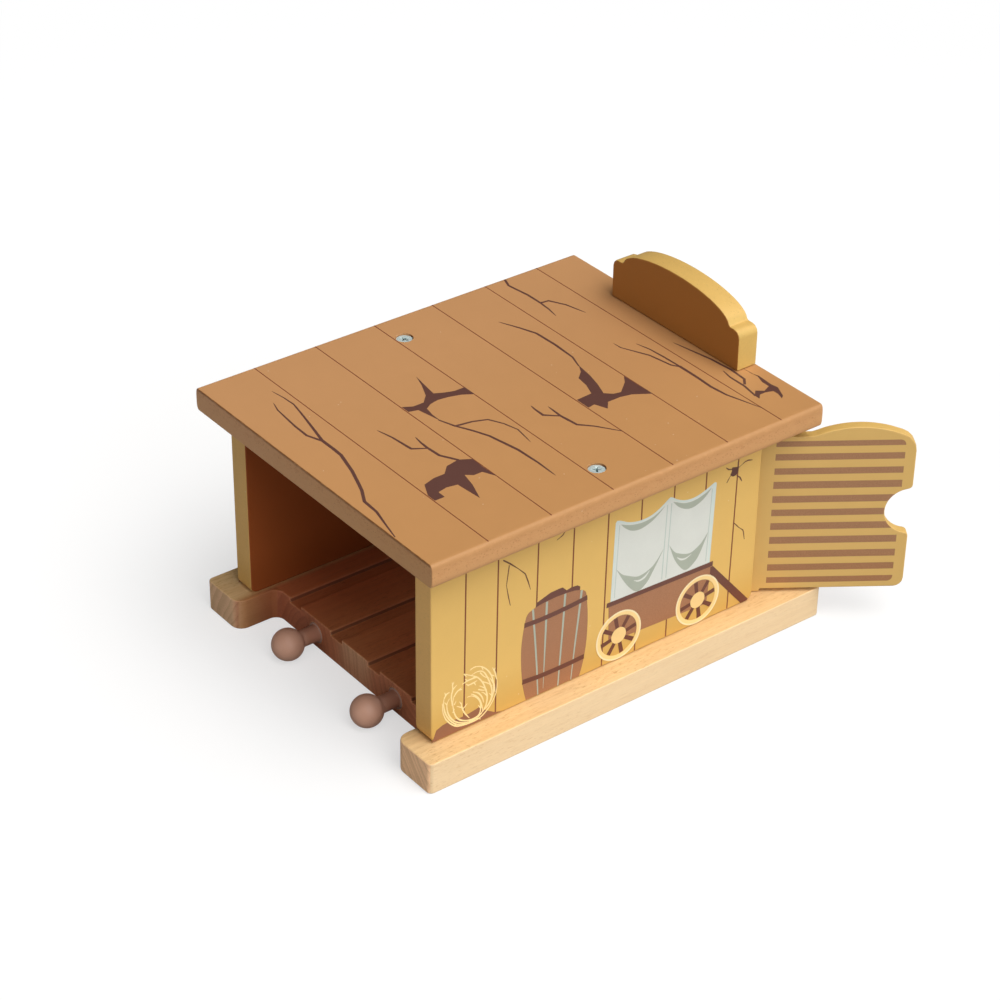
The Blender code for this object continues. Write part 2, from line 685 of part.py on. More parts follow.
def wood_screw(name, location, rotation, length, spin, steps=HIDDEN_STEPS):
    """Countersunk cross-head wood screw; local +Z points out of the head."""
    profile = [(0.0, 0.0)]
    profile += [(SCREW_HEAD_R + offset, height) for offset, height in SCREW_RIM]
    profile += [(SCREW_SHANK_R, -SCREW_HEAD_D), (SCREW_SHANK_R, -length + SCREW_POINT_L),
                (SCREW_TIP_R, -length), (0.0, -length)]
    screw = turned(name, profile, ZINC, location, rotation, steps)
    head = Matrix.Translation(metres(location)) @ Matrix.Rotation(rotation[0], 4, "X")
    for k in range(2):
        turn = Matrix.Rotation(spin + k * math.pi / 2, 4, "Z")
        cut(screw, recess_blade("%s_recess_%d" % (name, k), head @ turn))


def build_fasteners(side, word):
    x = side * WALL_X
    spin = SCREW_SPIN[word]
    wood_screw(word + "_roof_screw", (x, ROOF_SCREW_Y, ROOF_Z1 - ROOF_SCREW_INSET), UP,
               WALL_SCREW_L, spin, steps=ROUND_STEPS)
    for y, end in zip(BASE_SCREW_YS, ("front", "rear")):
        wood_screw("%s_%s_base_screw" % (word, end), (x, y, BASE_SCREW_INSET), DOWN,
                   WALL_SCREW_L, spin + BASE_SCREW_SPIN)
    for y, end in zip(DOWEL_YS, ("front", "rear")):
        rod("%s_%s_roof_dowel" % (word, end), DOWEL_R, DOWEL_CHAMFER,
            WALL_Z1 - DOWEL_IN_WALL, ROOF_Z0 + DOWEL_IN_ROOF, DOWEL_BEECH, x, y)
    wood_screw(word + "_sign_screw",
               (side * SIGN_SCREW_X, SIGN_Y, ROOF_Z0 + SIGN_SCREW_INSET), DOWN,
               SIGN_SCREW_L, spin + SIGN_SCREW_SPIN)


# ---- assembly ----------------------------------------------------------------------
build_base()
build_roof()
build_sign()
for side, word in SIDES:
    build_wall(side, word)
    build_door(side, word)
    build_peg(side, word)
    build_fasteners(side, word)
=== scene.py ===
"""Wooden toy-railway depot: painted boards with printed planks and cracks, a picture on
each side wall, a natural beech base, turned pegs and zinc screws.

The depot stands on the XY plane.  X runs across it from the left wall to the right wall,
Y from the front (-Y, where the pegs stick out of the base) to the back, Z up.  Lengths
are millimetres unless a comment says metres; MM turns them into metres.
"""

import json
import math

import bmesh
import bpy
from mathutils import Matrix, Vector
from mathutils.geometry import tessellate_polygon


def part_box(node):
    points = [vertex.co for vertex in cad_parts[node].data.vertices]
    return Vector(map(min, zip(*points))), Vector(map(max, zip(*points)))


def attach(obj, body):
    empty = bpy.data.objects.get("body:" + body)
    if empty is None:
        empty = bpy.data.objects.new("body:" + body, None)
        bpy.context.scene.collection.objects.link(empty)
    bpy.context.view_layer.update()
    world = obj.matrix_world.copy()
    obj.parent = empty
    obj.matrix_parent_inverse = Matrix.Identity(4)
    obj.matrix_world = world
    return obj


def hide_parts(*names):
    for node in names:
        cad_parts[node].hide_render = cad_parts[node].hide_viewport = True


MM = 0.001
X, Y, Z = 0, 1, 2

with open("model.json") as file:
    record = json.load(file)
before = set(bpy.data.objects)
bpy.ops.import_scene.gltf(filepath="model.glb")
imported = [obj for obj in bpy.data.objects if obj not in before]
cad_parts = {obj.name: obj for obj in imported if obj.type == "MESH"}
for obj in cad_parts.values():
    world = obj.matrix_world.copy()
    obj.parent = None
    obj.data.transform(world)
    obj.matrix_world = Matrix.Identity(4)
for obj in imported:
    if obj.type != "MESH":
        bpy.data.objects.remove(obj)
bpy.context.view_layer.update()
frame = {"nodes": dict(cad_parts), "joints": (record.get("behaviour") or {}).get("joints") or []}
NODES = frame["nodes"]


def box_mm(node):
    low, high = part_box(node)
    return low / MM, high / MM


ROOF_LOW, ROOF_HIGH = box_mm("roof")
WALL_LOW, WALL_HIGH = box_mm("right_wall")
SIGN_HIGH = box_mm("sign_board")[1]
PEG_LOW, PEG_HIGH = box_mm("right_track_peg")
PEG_X, PEG_Z = (PEG_LOW.x + PEG_HIGH.x) / 2, (PEG_LOW.z + PEG_HIGH.z) / 2
SCREW_TOP = box_mm("right_roof_screw")[1].z
DECK_FACE_Y = -72.0       # the deck's front end, where the pegs are set
DECK_REACH = 49.2         # half the width of the painted shade on the wood between the walls


# ==== colours =======================================================================
def srgb(*channels):
    """sRGB 0..255 to a linear colour."""
    out = []
    for level in channels:
        level = level / 255.0
        out.append(level / 12.92 if level <= 0.04045 else ((level + 0.055) / 1.055) ** 2.4)
    return tuple(out) + (1.0,)


def tint(colour, *gains):
    """The colour times one gain, or times one gain for each channel."""
    return tuple(c * g for c, g in zip(colour[:3], gains * 3)) + (1.0,)


ROOF_TAN = srgb(191, 140, 90)
ROOF_EDGE = srgb(199, 149, 101)
ROOF_SPECK = srgb(176, 117, 71)
OCHRE = srgb(223, 182, 103)
OCHRE_EDGE = srgb(215, 175, 98)
DOOR_OCHRE = srgb(213, 175, 104)
INNER_BROWN = srgb(161, 83, 35)
SIGN_FRONT = srgb(163, 107, 46)
# painted shade on the upper part of the roof's right face
ROOF_RIM_FRONT = srgb(142, 92, 50)
ROOF_RIGHT_TOP_SHADE = srgb(184, 136, 89)
BEECH = srgb(228, 192, 140)
DOWEL_BEECH = srgb(232, 190, 136)
PEG_ROSE = srgb(197, 151, 128)
# gains on the beech colour
END_TONE = (1.20, 1.12, 1.30)
SIDE_TONE = (1.05, 1.15, 1.38)
FLECK_TONE = (0.66, 0.50, 0.36)
RING_TONE = (0.84, 0.73, 0.62)
END_LINE_TONE = (0.66, 0.53, 0.50)
WORN_BEECH = (1.0, 0.90, 0.86, 1)
# painted shade, reddened like light bounced off the brown walls, multiplied into the wood
# between the walls and the ears beside it
DECK_SHADE_TINT = (0.72, 0.37, 0.28, 1)
EAR_SHADE_AT_DECK = (0.56, 0.255, 0.165, 1)
EAR_SHADE_AT_TIP = (0.63, 0.385, 0.255, 1)
# gains on painted and printed faces
# painted shade and warm bounce light near the walls' foot
WALL_FOOT_SHADE = (0.85, 0.81, 0.70, 1)
DUST = (0.85, 0.78, 0.66, 1)
# painted shade on the pegs' necks
NECK_SHADE = (0.80, 0.68, 0.63, 1)
# painted highlight on the pegs' collar rims
COLLAR_HIGHLIGHT = (0.47, 0.30, 0.24, 1)
ZINC_TONES = (0.62, 0.74, 0.74, 1), (0.74, 0.84, 0.82, 1)
# painted shade in the screws' cross recesses
ZINC_RECESS_SHADE = (0.10, 0.17, 0.17, 1)
WIRE_TONES = (0.62, 0.62, 0.63, 1), (0.50, 0.48, 0.46, 1)


# ==== shader nodes: every function adds to the tree that was opened last ============
class Socket:
    """A node output; arithmetic on it adds Math nodes."""

    def __init__(self, output):
        self.output = output

    def __add__(self, other):
        return calc("ADD", self, other)

    def __radd__(self, other):
        return calc("ADD", other, self)

    def __sub__(self, other):
        return calc("SUBTRACT", self, other)

    def __rsub__(self, other):
        return calc("SUBTRACT", other, self)

    def __mul__(self, other):
        return calc("MULTIPLY", self, other)


tree = None


def open_nodes(owner):
    """Empty the node tree of a material or world and make it the current one."""
    global tree
    owner.use_nodes = True
    tree = owner.node_tree
    tree.nodes.clear()
    return owner


def add_node(kind, **settings):
    count = len(tree.nodes)
    made = tree.nodes.new(kind)
    made.location = (count * 30, -(count % 9) * 60)
    for key, value in settings.items():
        setattr(made, key, value)
    return made


def put(socket, value):
    """Link or set an input; numbers and tuples are fitted to its size."""
    if value is None:
        return
    if isinstance(value, Socket):
        tree.links.new(value.output, socket)
    elif not hasattr(socket.default_value, "__len__"):
        socket.default_value = value
    else:
        size = len(socket.default_value)
        value = tuple(value) + (1.0,) if hasattr(value, "__len__") else (value,) * size
        socket.default_value = value[:size]


def put_all(made, *values):
    for socket, value in zip(made.inputs, values):
        put(socket, value)


def calc(operation, first, second=None, clamp=False):
    made = add_node("ShaderNodeMath", operation=operation, use_clamp=clamp)
    put_all(made, first, second)
    return Socket(made.outputs[0])


def vector_calc(operation, first, second=None, result="Vector"):
    made = add_node("ShaderNodeVectorMath", operation=operation)
    put_all(made, first, second)
    return Socket(made.outputs[result])


def scale(vector, factor):
    """A vector or colour times a number or a socket."""
    made = add_node("ShaderNodeVectorMath", operation="SCALE")
    put(made.inputs[0], vector)
    put(made.inputs["Scale"], factor)
    return Socket(made.outputs[0])


def stretch(vector, factors):
    return vector_calc("MULTIPLY", vector, factors)


def dot(vector, other):
    return vector_calc("DOT_PRODUCT", vector, other, "Value")


def coordinates(kind):
    return Socket(add_node("ShaderNodeTexCoord").outputs[kind])


def position():
    """Object coordinates in millimetres."""
    return scale(coordinates("Object"), 1000.0)


def axis(vector, index):
    made = add_node("ShaderNodeSeparateXYZ")
    put(made.inputs[0], vector)
    return Socket(made.outputs[index])


def join(x, y, z):
    made = add_node("ShaderNodeCombineXYZ")
    put_all(made, x, y, z)
    return Socket(made.outputs[0])


def smooth(value, over, to=(0.0, 1.0)):
    """An eased step from to[0] at over[0] to to[1] at over[1]."""
    made = add_node("ShaderNodeMapRange", interpolation_type="SMOOTHSTEP")
    put_all(made, value, *over, *to)
    return Socket(made.outputs[0])


def noise(vector, scale=1.0, detail=2.0, rough=0.5, distort=0.0):
    made = add_node("ShaderNodeTexNoise")
    put(made.inputs["Vector"], vector)
    made.inputs["Scale"].default_value = scale
    made.inputs["Detail"].default_value = detail
    made.inputs["Roughness"].default_value = rough
    made.inputs["Distortion"].default_value = distort
    return Socket(made.outputs[0])


def cells(vector, scale):
    """Distance to the nearest cell point, and that cell's random colour."""
    made = add_node("ShaderNodeTexVoronoi", feature="F1")
    put(made.inputs["Vector"], vector)
    made.inputs["Scale"].default_value = scale
    return Socket(made.outputs["Distance"]), Socket(made.outputs["Color"])


def mix(mask, under, over, blend="MIX"):
    made = add_node("ShaderNodeMix", data_type="RGBA", blend_type=blend)
    put(made.inputs[0], mask)
    put(made.inputs[6], under)
    put(made.inputs[7], over)
    return Socket(made.outputs[2])


def multiply(colour, factor):
    return mix(1.0, colour, factor, "MULTIPLY")


def multiplied_where(mask, colour, factor):
    """The colour, multiplied by another where the mask is on."""
    return mix(mask, colour, multiply(colour, factor))


def scaled(mask, colour, factor):
    """The colour, made lighter or darker where the mask is on."""
    return mix(mask, colour, scale(colour, factor))


def bump(height, strength, distance):
    """distance is in metres."""
    made = add_node("ShaderNodeBump")
    put(made.inputs["Height"], height)
    made.inputs["Strength"].default_value = strength
    made.inputs["Distance"].default_value = distance
    return Socket(made.outputs[0])


def edge(radius):
    """0 on a flat, rising on edges, from the rounded normal; radius is in metres."""
    bevel = add_node("ShaderNodeBevel", samples=4)
    bevel.inputs["Radius"].default_value = radius
    geometry = add_node("ShaderNodeNewGeometry")
    agreement = dot(Socket(bevel.outputs[0]), Socket(geometry.outputs["Normal"]))
    return calc("SUBTRACT", 1.0, agreement, clamp=True)


def surface(colour, roughness, normal, metallic=0.0, specular=0.5):
    shader = add_node("ShaderNodeBsdfPrincipled")
    put(shader.inputs["Base Color"], colour)
    put(shader.inputs["Roughness"], roughness)
    put(shader.inputs["Metallic"], metallic)
    put(shader.inputs["Coat Weight"], 0.0)
    put(shader.inputs["Coat Roughness"], 0.3)
    put(shader.inputs["Specular IOR Level"], specular)
    put(shader.inputs["Normal"], normal)
    output(shader, "ShaderNodeOutputMaterial")


def output(shader, kind):
    tree.links.new(shader.outputs[0], add_node(kind).inputs[0])


# ==== materials =====================================================================
def sawn_edge(place, pits, colour, speck, amount, speck_z):
    """Sawn fibreboard: streaks along the edge, and dark pits where the fibres drank the
    paint.  speck_z is the height range over which the specks grow stronger."""
    along = stretch(place, (1.0, 1.0, 2.1))
    soak = noise(along, scale=0.55, detail=5.0, rough=0.72, distort=0.6)
    patch = smooth(soak, over=(0.47, 0.66))
    pit = smooth(pits, over=(0.58, 0.74))
    mask = calc("MULTIPLY", calc("MAXIMUM", patch * 0.55, pit), amount, clamp=True)
    if speck_z:
        mask = mask * smooth(axis(position(), Z), over=speck_z, to=(0.35, 1.25))
    sawn = mix(mask, colour, speck)
    pale = smooth(noise(along, scale=1.1, detail=3.0, rough=0.6), over=(0.56, 0.75))
    sawn = mix(pale * 0.28, sawn, tint(colour, 1.22))
    # single fibres that stayed dark
    distance, tone = cells(stretch(place, (1.0, 1.0, 1.25)), scale=0.95)
    picked = smooth(distance, over=(0.34, 0.16)) * smooth(axis(tone, X), over=(0.62, 0.80))
    if speck_z:
        picked = picked * smooth(axis(position(), Z), over=speck_z, to=(0.30, 1.0))
    return mix(picked * (0.85 * amount), sawn, tint(speck, 0.62))


def painted_board(name, faces, edge_colour, speck, speck_amount, seed, roughness=0.47,
                  speck_z=None, rims=(), foot_shade=None, end_gain=None, sides=None):
    """Sprayed fibreboard.

    faces: (direction, colour); what points none of those ways is a sawn edge
    speck: the colour that the fibres soak up along sawn edges
    rims: (direction, z range, colour) of a ragged band along a sawn face's upper edge
    foot_shade: gain near the foot of the board, painted shade and warm bounce light
    end_gain: (direction, gain) of one face
    sides: gains at the left and right ends
    """
    material = open_nodes(bpy.data.materials.new(name))
    place = vector_calc("ADD", position(), (seed, seed * 1.7, seed * 0.6))
    normal = coordinates("Normal")
    drift = noise(place, scale=0.018, detail=3.0, rough=0.55)
    cloud = noise(place, scale=0.16, detail=4.0, rough=0.6)
    grain = noise(place, scale=3.1, detail=3.0, rough=0.7)
    fine = noise(place, scale=9.0, detail=1.0, rough=0.5)
    pits = noise(place, scale=1.55, detail=3.0, rough=0.65)
    colour = sawn_edge(place, pits, edge_colour, speck, speck_amount, speck_z)
    flat = None
    for direction, face_colour in faces:
        mask = smooth(dot(normal, direction), over=(0.55, 0.85))
        flat = mask if flat is None else calc("MAXIMUM", flat, mask)
        colour = mix(mask, colour, face_colour)
    for direction, z_range, rim_colour in rims:
        facing = smooth(dot(normal, direction), over=(0.08, 0.45))
        band = facing * smooth(axis(position(), Z), over=z_range)
        wobble = noise(stretch(place, (0.35, 0.35, 1.0)), detail=3.0, rough=0.6)
        ragged = smooth(wobble, over=(0.30, 0.55), to=(0.55, 1.0))
        colour = mix(band * ragged, colour, rim_colour)
    # a gain on one face; on the walls' front ends this is painted light
    if end_gain:
        direction, gain = end_gain
        colour = multiplied_where(smooth(dot(normal, direction), over=(0.55, 0.85)), colour, gain)
    # painted shade and warm bounce light, stronger towards the board's foot
    if foot_shade:
        low = smooth(axis(position(), Z) + cloud * 3.0, over=(34.0, 15.0))
        colour = multiplied_where(low, colour, foot_shade)
    if sides:
        across = smooth(axis(position(), X), over=(-70.0, 70.0))
        colour = multiply(colour, mix(across, *sides))
    value = 0.93 + drift * 0.10
    value = value + (cloud - 0.5) * 0.05
    value = value + (grain - 0.5) * 0.07
    colour = scale(colour, value)
    # dust nibs trapped in the paint, tiny and rare
    nib = calc("LESS_THAN", cells(place, scale=0.12)[0], 0.03)
    colour = mix(nib * 0.30, colour, DUST)
    # thin paint on the eased edges: lighter and drier, with small rubbed gaps
    worn = edge(0.0006)
    rub = smooth(noise(place, scale=0.9, detail=4.0, rough=0.7), over=(0.42, 0.66))
    wear = calc("MULTIPLY", smooth(worn, over=(0.02, 0.20)), 0.25 + rub * 0.6, clamp=True)
    colour = scaled(wear * 0.42, colour, 1.30)
    height = grain * 0.7 + fine * 0.3
    height = height + pits * (1.0 - flat) * -2.2
    surface(colour, roughness + cloud * 0.10 + wear * 0.10,
            bump(height, strength=0.30, distance=0.00004), specular=0.38)
    return material


def growth_rings(place, x, y, z, stave_shift):
    """1 on the dark line of each year; the blank is edge-glued from three staves, each
    with its own heart."""
    middle_on = calc("GREATER_THAN", x, -31.0 + stave_shift)
    right_on = calc("GREATER_THAN", x, 30.0 + stave_shift)
    heart_x = -10.0 + (middle_on * -68.0 + right_on * 83.0)
    heart_z = -17.0 + (middle_on * 5.0 + right_on * -25.0)
    wander = noise(join(x * 0.02, y * 0.006, z * 0.02))
    off_x = x - heart_x
    off_z = z - heart_z
    radius = calc("SQRT", off_x * off_x + off_z * off_z)
    radius = radius + wander * 16.0
    radius = radius + noise(stretch(place, (0.3, 0.02, 0.3))) * 0.5
    years = radius * 0.36 + noise(join(radius * 0.16, 7.0, 0.0)) * 3.2
    phase = calc("FRACT", years)
    return smooth(phase, over=(0.30, 0.95)) * smooth(phase, over=(1.0, 0.96))


def shaded_deck(colour, place, x, y, z, end, long_face, side, worn):
    """Painted shade on the wood between the walls, reddened like light bounced off the walls'
    brown paint.
    """
    left = smooth(x, over=(-DECK_REACH - 4.5, -DECK_REACH + 0.5))
    right = smooth(x, over=(DECK_REACH, DECK_REACH - 2.0))
    inside = left * right
    # painted light: the painted shade is lifted off the edges, as a highlight, and partly off
    # the middle of the front end
    patches = noise(place, scale=0.7, detail=3.0, rough=0.6)
    lit_edges = smooth(worn, over=(0.01, 0.12)) * smooth(patches, over=(0.35, 0.6), to=(0.55, 0.95))
    lit_edges = lit_edges * smooth(y, over=(-70.8, -71.6), to=(0.12, 1.0))
    lit_edges = lit_edges * smooth(calc("ABSOLUTE", x), over=(48.0, 46.0))
    middle = smooth(calc("ABSOLUTE", x + 0.0), over=(14.0, 4.0), to=(0.05, 0.55))
    fore = end * (middle * smooth(z, over=(1.0, 12.0), to=(0.6, 1.0)))
    inside = inside * (1.0 - calc("MAXIMUM", lit_edges * 0.80, fore))
    # painted shade on the front end faces between the walls, away from their edges
    shaded_end = end * (1.0 - smooth(worn, over=(0.004, 0.04)))
    colour = scaled(shaded_end * (left * right), colour, 0.70)
    # painted shade on the grooves' walls and, fainter, on their floors
    groove = smooth(z, over=(12.1, 11.6)) * (smooth(z, over=(9.6, 10.1)) * long_face)
    groove = groove * (smooth(y, over=(DECK_FACE_Y, -71.5))
                       * smooth(calc("ABSOLUTE", x), over=(43.5, 42.5)))
    groove_shade = groove * (0.12 + side * 0.80)
    colour = scaled(groove_shade * inside, colour, 0.40)
    # painted light: the lands lighter towards the middle and the right wall
    lit_lands = smooth(y, over=(-71.5, -57.0)) * smooth(x, over=(-32.0, -4.0), to=(0.12, 0.40))
    lit_lands = lit_lands * smooth(y, over=(-20.0, -40.0))
    colour = scaled(long_face * (left * right), colour, 1.0 + lit_lands)
    # painted shade, darker and redder towards the left wall
    deck_shade = mix(smooth(x, over=(-12.0, -34.0)), DECK_SHADE_TINT, tint(DECK_SHADE_TINT, 0.97, 0.84, 0.82))
    # the ears in front of the deck: painted shade, darker towards the deck
    ear = smooth(y, over=(-71.4, -72.6)) * long_face
    forward = smooth(y, over=(-75.0, -87.0))
    deck_shade = mix(ear, deck_shade, mix(forward, EAR_SHADE_AT_DECK, EAR_SHADE_AT_TIP))
    return multiplied_where(inside, colour, deck_shade)


def beech_wood(name, base, contrast=1.0, stave_shift=0.0, deck=False):
    """Solid beech with its grain along Y: growth rings that show as slow bands on the
    long faces and slanted lines on the end grain, short dark ray flecks, fine fibres."""
    material = open_nodes(bpy.data.materials.new(name))
    place = position()
    x, y, z = (axis(place, index) for index in (X, Y, Z))

    def grain(across, along, detail=2.0, rough=0.6):
        """Noise drawn out along the grain."""
        return noise(join(x * across, y * along, z * across), detail=detail, rough=rough)

    year = growth_rings(place, x, y, z, stave_shift)
    end = smooth(calc("ABSOLUTE", axis(coordinates("Normal"), Y)), over=(0.62, 0.80))
    long_face = 1.0 - end
    side = smooth(calc("ABSOLUTE", axis(coordinates("Normal"), X)), over=(0.5, 0.85))
    # ray flecks: fine dark dashes, and fewer longer ones
    fleck = smooth(grain(2.3, 0.42), over=(0.56, 0.68))
    dash = smooth(grain(1.25, 0.13, detail=2.5, rough=0.62), over=(0.58, 0.70))
    crowd = smooth(noise(stretch(place, (0.10, 0.022, 0.10))), over=(0.40, 0.62), to=(0.35, 1.0))
    streak = grain(0.9, 0.045, detail=3.0)
    broad = noise(stretch(place, (0.16, 0.012, 0.16)))
    fibre = grain(6.5, 0.22)
    pore = smooth(noise(stretch(place, (4.2, 1.2, 4.2)), detail=1.5), over=(0.52, 0.68))
    drift = noise(place, scale=0.012)
    dark_fleck = tint(base, *FLECK_TONE)
    ring_tone = tint(base, *RING_TONE)
    end_line = tint(base, *END_LINE_TONE)
    side_tone = tint(base, *SIDE_TONE)
    colour = mix(side * 1.0, base, side_tone)
    colour = scaled(smooth(streak, over=(0.40, 0.66), to=(0.0, 0.70)), colour, 1.09)
    streaks = smooth(streak, over=(0.46, 0.30), to=(0.0, 0.26 * contrast))
    colour = mix(streaks, colour, ring_tone)
    bands = smooth(broad, over=(0.50, 0.30), to=(0.0, 0.22 * contrast))
    colour = mix(bands, colour, ring_tone)
    colour = mix(year * long_face * (0.20 * contrast), colour, ring_tone)
    colour = mix(side * 0.62, colour, side_tone)
    flecks = fleck * crowd * (0.62 * contrast)
    colour = mix(flecks * long_face * (1.0 - side * 0.55), colour, dark_fleck)
    dashes = dash * long_face * ((1.0 - side * 0.6) * (0.30 * contrast))
    colour = mix(dashes, colour, dark_fleck)
    # end grain
    sawn = mix(year * 0.36, tint(base, *END_TONE), end_line)
    sawn = mix(pore * 0.20, sawn, end_line)
    blotch = noise(stretch(place, (1.5, 0.3, 1.5)))
    sawn = mix(smooth(blotch, over=(0.5, 0.7), to=(0.0, 0.22)), sawn, end_line)
    colour = mix(end, colour, sawn)
    value = 0.955 + (fibre - 0.5) * 0.15
    value = value + drift * 0.08
    if deck:
        # painted shade on the left, where the roof shades the base, most on the left end;
        # painted light on the end faces towards the right
        value = value * smooth(x, over=(-40.0, 20.0), to=(0.90, 1.0))
        value = value * (1.0 - end * smooth(x, over=(-46.0, -52.0), to=(0.0, 0.13)))
        value = value * (1.0 + end * smooth(x, over=(-40.0, 50.0), to=(0.0, 0.10)))
    colour = scale(colour, value)
    worn = edge(0.0007)
    colour = multiplied_where(smooth(worn, over=(0.02, 0.2)) * 0.5, colour, WORN_BEECH)
    if deck:
        # painted shade on the wood between the walls
        colour = shaded_deck(colour, place, x, y, z, end, long_face, side, worn)
    surface(colour, 0.46 + streak * 0.10 + end * 0.12,
            bump(fibre * 0.6 - fleck * 0.5, strength=0.35, distance=0.00003), specular=0.42)
    return material


def ink(name, colour, grain=1.0, foot=None):
    """Printed ink: faint dither, paint grain showing through, slight sheen change.
    foot is the gain low down: painted shade and warm bounce light from the base."""
    material = open_nodes(bpy.data.materials.new(name))
    place = position()
    dither = noise(stretch(place, (3.4, 3.4, 3.4)), rough=0.7)
    cloud = noise(place, scale=0.12, detail=3.0, rough=0.55)
    thin = smooth(noise(place, scale=0.8, detail=4.0, rough=0.7), over=(0.66, 0.78))
    value = 1.0 + (dither - 0.5) * (0.36 * grain)
    value = value + (cloud - 0.5) * 0.10
    value = value + thin * (0.10 * grain)
    colour = scale(colour, value)
    # painted shade and warm bounce light low down
    if foot:
        low = smooth(axis(place, Z) + cloud * 4.0, over=(40.0, 16.0))
        colour = multiplied_where(low, colour, foot)
    surface(colour, 0.46 + cloud * 0.08, bump(dither, strength=0.2, distance=0.00002),
            specular=0.35)
    return material


def peg_material():
    material = open_nodes(bpy.data.materials.new("peg_rose"))
    place = position()
    cloud = noise(place, scale=0.25, detail=4.0, rough=0.6)
    speck = noise(place, scale=4.0, rough=0.6)
    turning = noise(stretch(place, (0.35, 5.5, 0.35)), rough=0.6)
    value = 0.95 + cloud * 0.10
    value = value + (speck - 0.5) * 0.07
    value = value + (turning - 0.5) * 0.05
    colour = scale(PEG_ROSE, value)
    # painted shade on the neck next to the deck, and a painted highlight, a paler colour, on the
    # collar's rim
    x, y, z = (axis(place, index) for index in (X, Y, Z))
    off = calc("ABSOLUTE", x) - PEG_X
    up = z - PEG_Z
    radius = calc("SQRT", off * off + up * up)
    neck = smooth(y, over=(DECK_FACE_Y - 8.0, DECK_FACE_Y - 4.0))
    colour = multiplied_where(neck, colour, NECK_SHADE)
    near_deck = (DECK_FACE_Y - 0.9, DECK_FACE_Y - 0.3)
    rim = smooth(radius, over=(3.42, 3.6)) * smooth(y, over=near_deck)
    colour = mix(rim, colour, COLLAR_HIGHLIGHT)
    surface(colour, 0.40 + cloud * 0.12,
            bump(turning * 0.6 + speck * 0.4, strength=0.25, distance=0.00003), specular=0.45)
    return material


def zinc_material():
    material = open_nodes(bpy.data.materials.new("blue_zinc"))
    place = position()
    spangle = axis(cells(place, scale=1.6)[1], X)
    fine = noise(place, scale=7.0, detail=3.0, rough=0.7)
    colour = scale(mix(spangle * 0.5, *ZINC_TONES), 0.9 + fine * 0.2)
    # painted shade in the cross recess and down the cone
    depth = smooth(axis(place, Z), over=(SCREW_TOP - 0.10, SCREW_TOP - 0.75))
    colour = mix(depth, colour, ZINC_RECESS_SHADE)
    surface(colour, 0.30 + fine * 0.20, bump(fine, strength=0.3, distance=0.00002),
            metallic=0.35, specular=0.7)
    return material


def steel_material():
    material = open_nodes(bpy.data.materials.new("bright_wire"))
    place = position()
    drawn = noise(stretch(place, (7.0, 7.0, 0.6)), detail=3.0, rough=0.7)
    tarnish = noise(place, scale=0.5, detail=3.0, rough=0.6)
    colour = mix(smooth(tarnish, over=(0.45, 0.75)), *WIRE_TONES)
    colour = scale(colour, 0.88 + drawn * 0.24)
    surface(colour, 0.25 + drawn * 0.2, bump(drawn, strength=0.3, distance=0.00002),
            metallic=1.0)
    return material


# ==== curves: outlines are lists of (u, v) on a printed face ========================
def catmull(points, steps=8, closed=False):
    """Points along a Catmull-Rom curve through the given ones."""
    knots = [Vector(p) for p in points]
    count = len(knots)
    out = []
    for i in range(count if closed else count - 1):
        here, there = knots[i], knots[(i + 1) % count]
        before = knots[i - 1] if closed or i > 0 else here + (here - there)
        after = knots[(i + 2) % count] if closed or i + 2 < count else there + (there - here)
        for k in range(steps):
            t = k / steps
            out.append(0.5 * ((2 * here) + (there - before) * t
                              + (2 * before - 5 * here + 4 * there - after) * t * t
                              + (3 * here - before - 3 * there + after) * t ** 3))
    if not closed:
        out.append(knots[-1])
    return [(p.x, p.y) for p in out]


def arc(centre, radius_u, radius_v, start, stop, steps):
    """Points of an elliptical arc; the angles are degrees."""
    angles = [math.radians(start + (stop - start) * k / steps) for k in range(steps + 1)]
    return [(centre[0] + radius_u * math.cos(a), centre[1] + radius_v * math.sin(a))
            for a in angles]


def circle(centre, radius, steps):
    return arc(centre, radius, radius, 0, 360, steps)[:-1]


def stroke(points, *widths):
    """Outline of a pen stroke; widths are spread evenly along its length."""
    path = [Vector(p) for p in points]
    count = len(path)
    run = [0.0]
    for here, there in zip(path, path[1:]):
        run.append(run[-1] + (there - here).length)
    left, right = [], []
    for i, here in enumerate(path):
        arriving = (here - path[i - 1] if i else path[1] - here).normalized()
        leaving = (path[i + 1] - here).normalized() if i + 1 < count else arriving
        heading = arriving + leaving
        heading = heading.normalized() if heading.length > 1e-6 else arriving
        side = Vector((-heading.y, heading.x))
        mitre = 1.0 / max(0.55, side.dot(Vector((-leaving.y, leaving.x))))
        if len(widths) == 1:
            width = widths[0]
        else:
            along = run[i] / run[-1] * (len(widths) - 1)
            j = min(int(along), len(widths) - 2)
            width = widths[j] + (widths[j + 1] - widths[j]) * (along - j)
        half = max(width, 0.03) / 2 * mitre
        left.append(here + side * half)
        right.append(here - side * half)
    return [(p.x, p.y) for p in left + right[::-1]]


def dense(points, steps=5):
    """The same broken line with more points on it."""
    out = []
    for a, b in zip(points, points[1:]):
        out += [(a[0] + (b[0] - a[0]) * k / steps, a[1] + (b[1] - a[1]) * k / steps)
                for k in range(steps)]
    return out + [points[-1]]


TAPER = 0.1     # the pen width that marks a tapered end


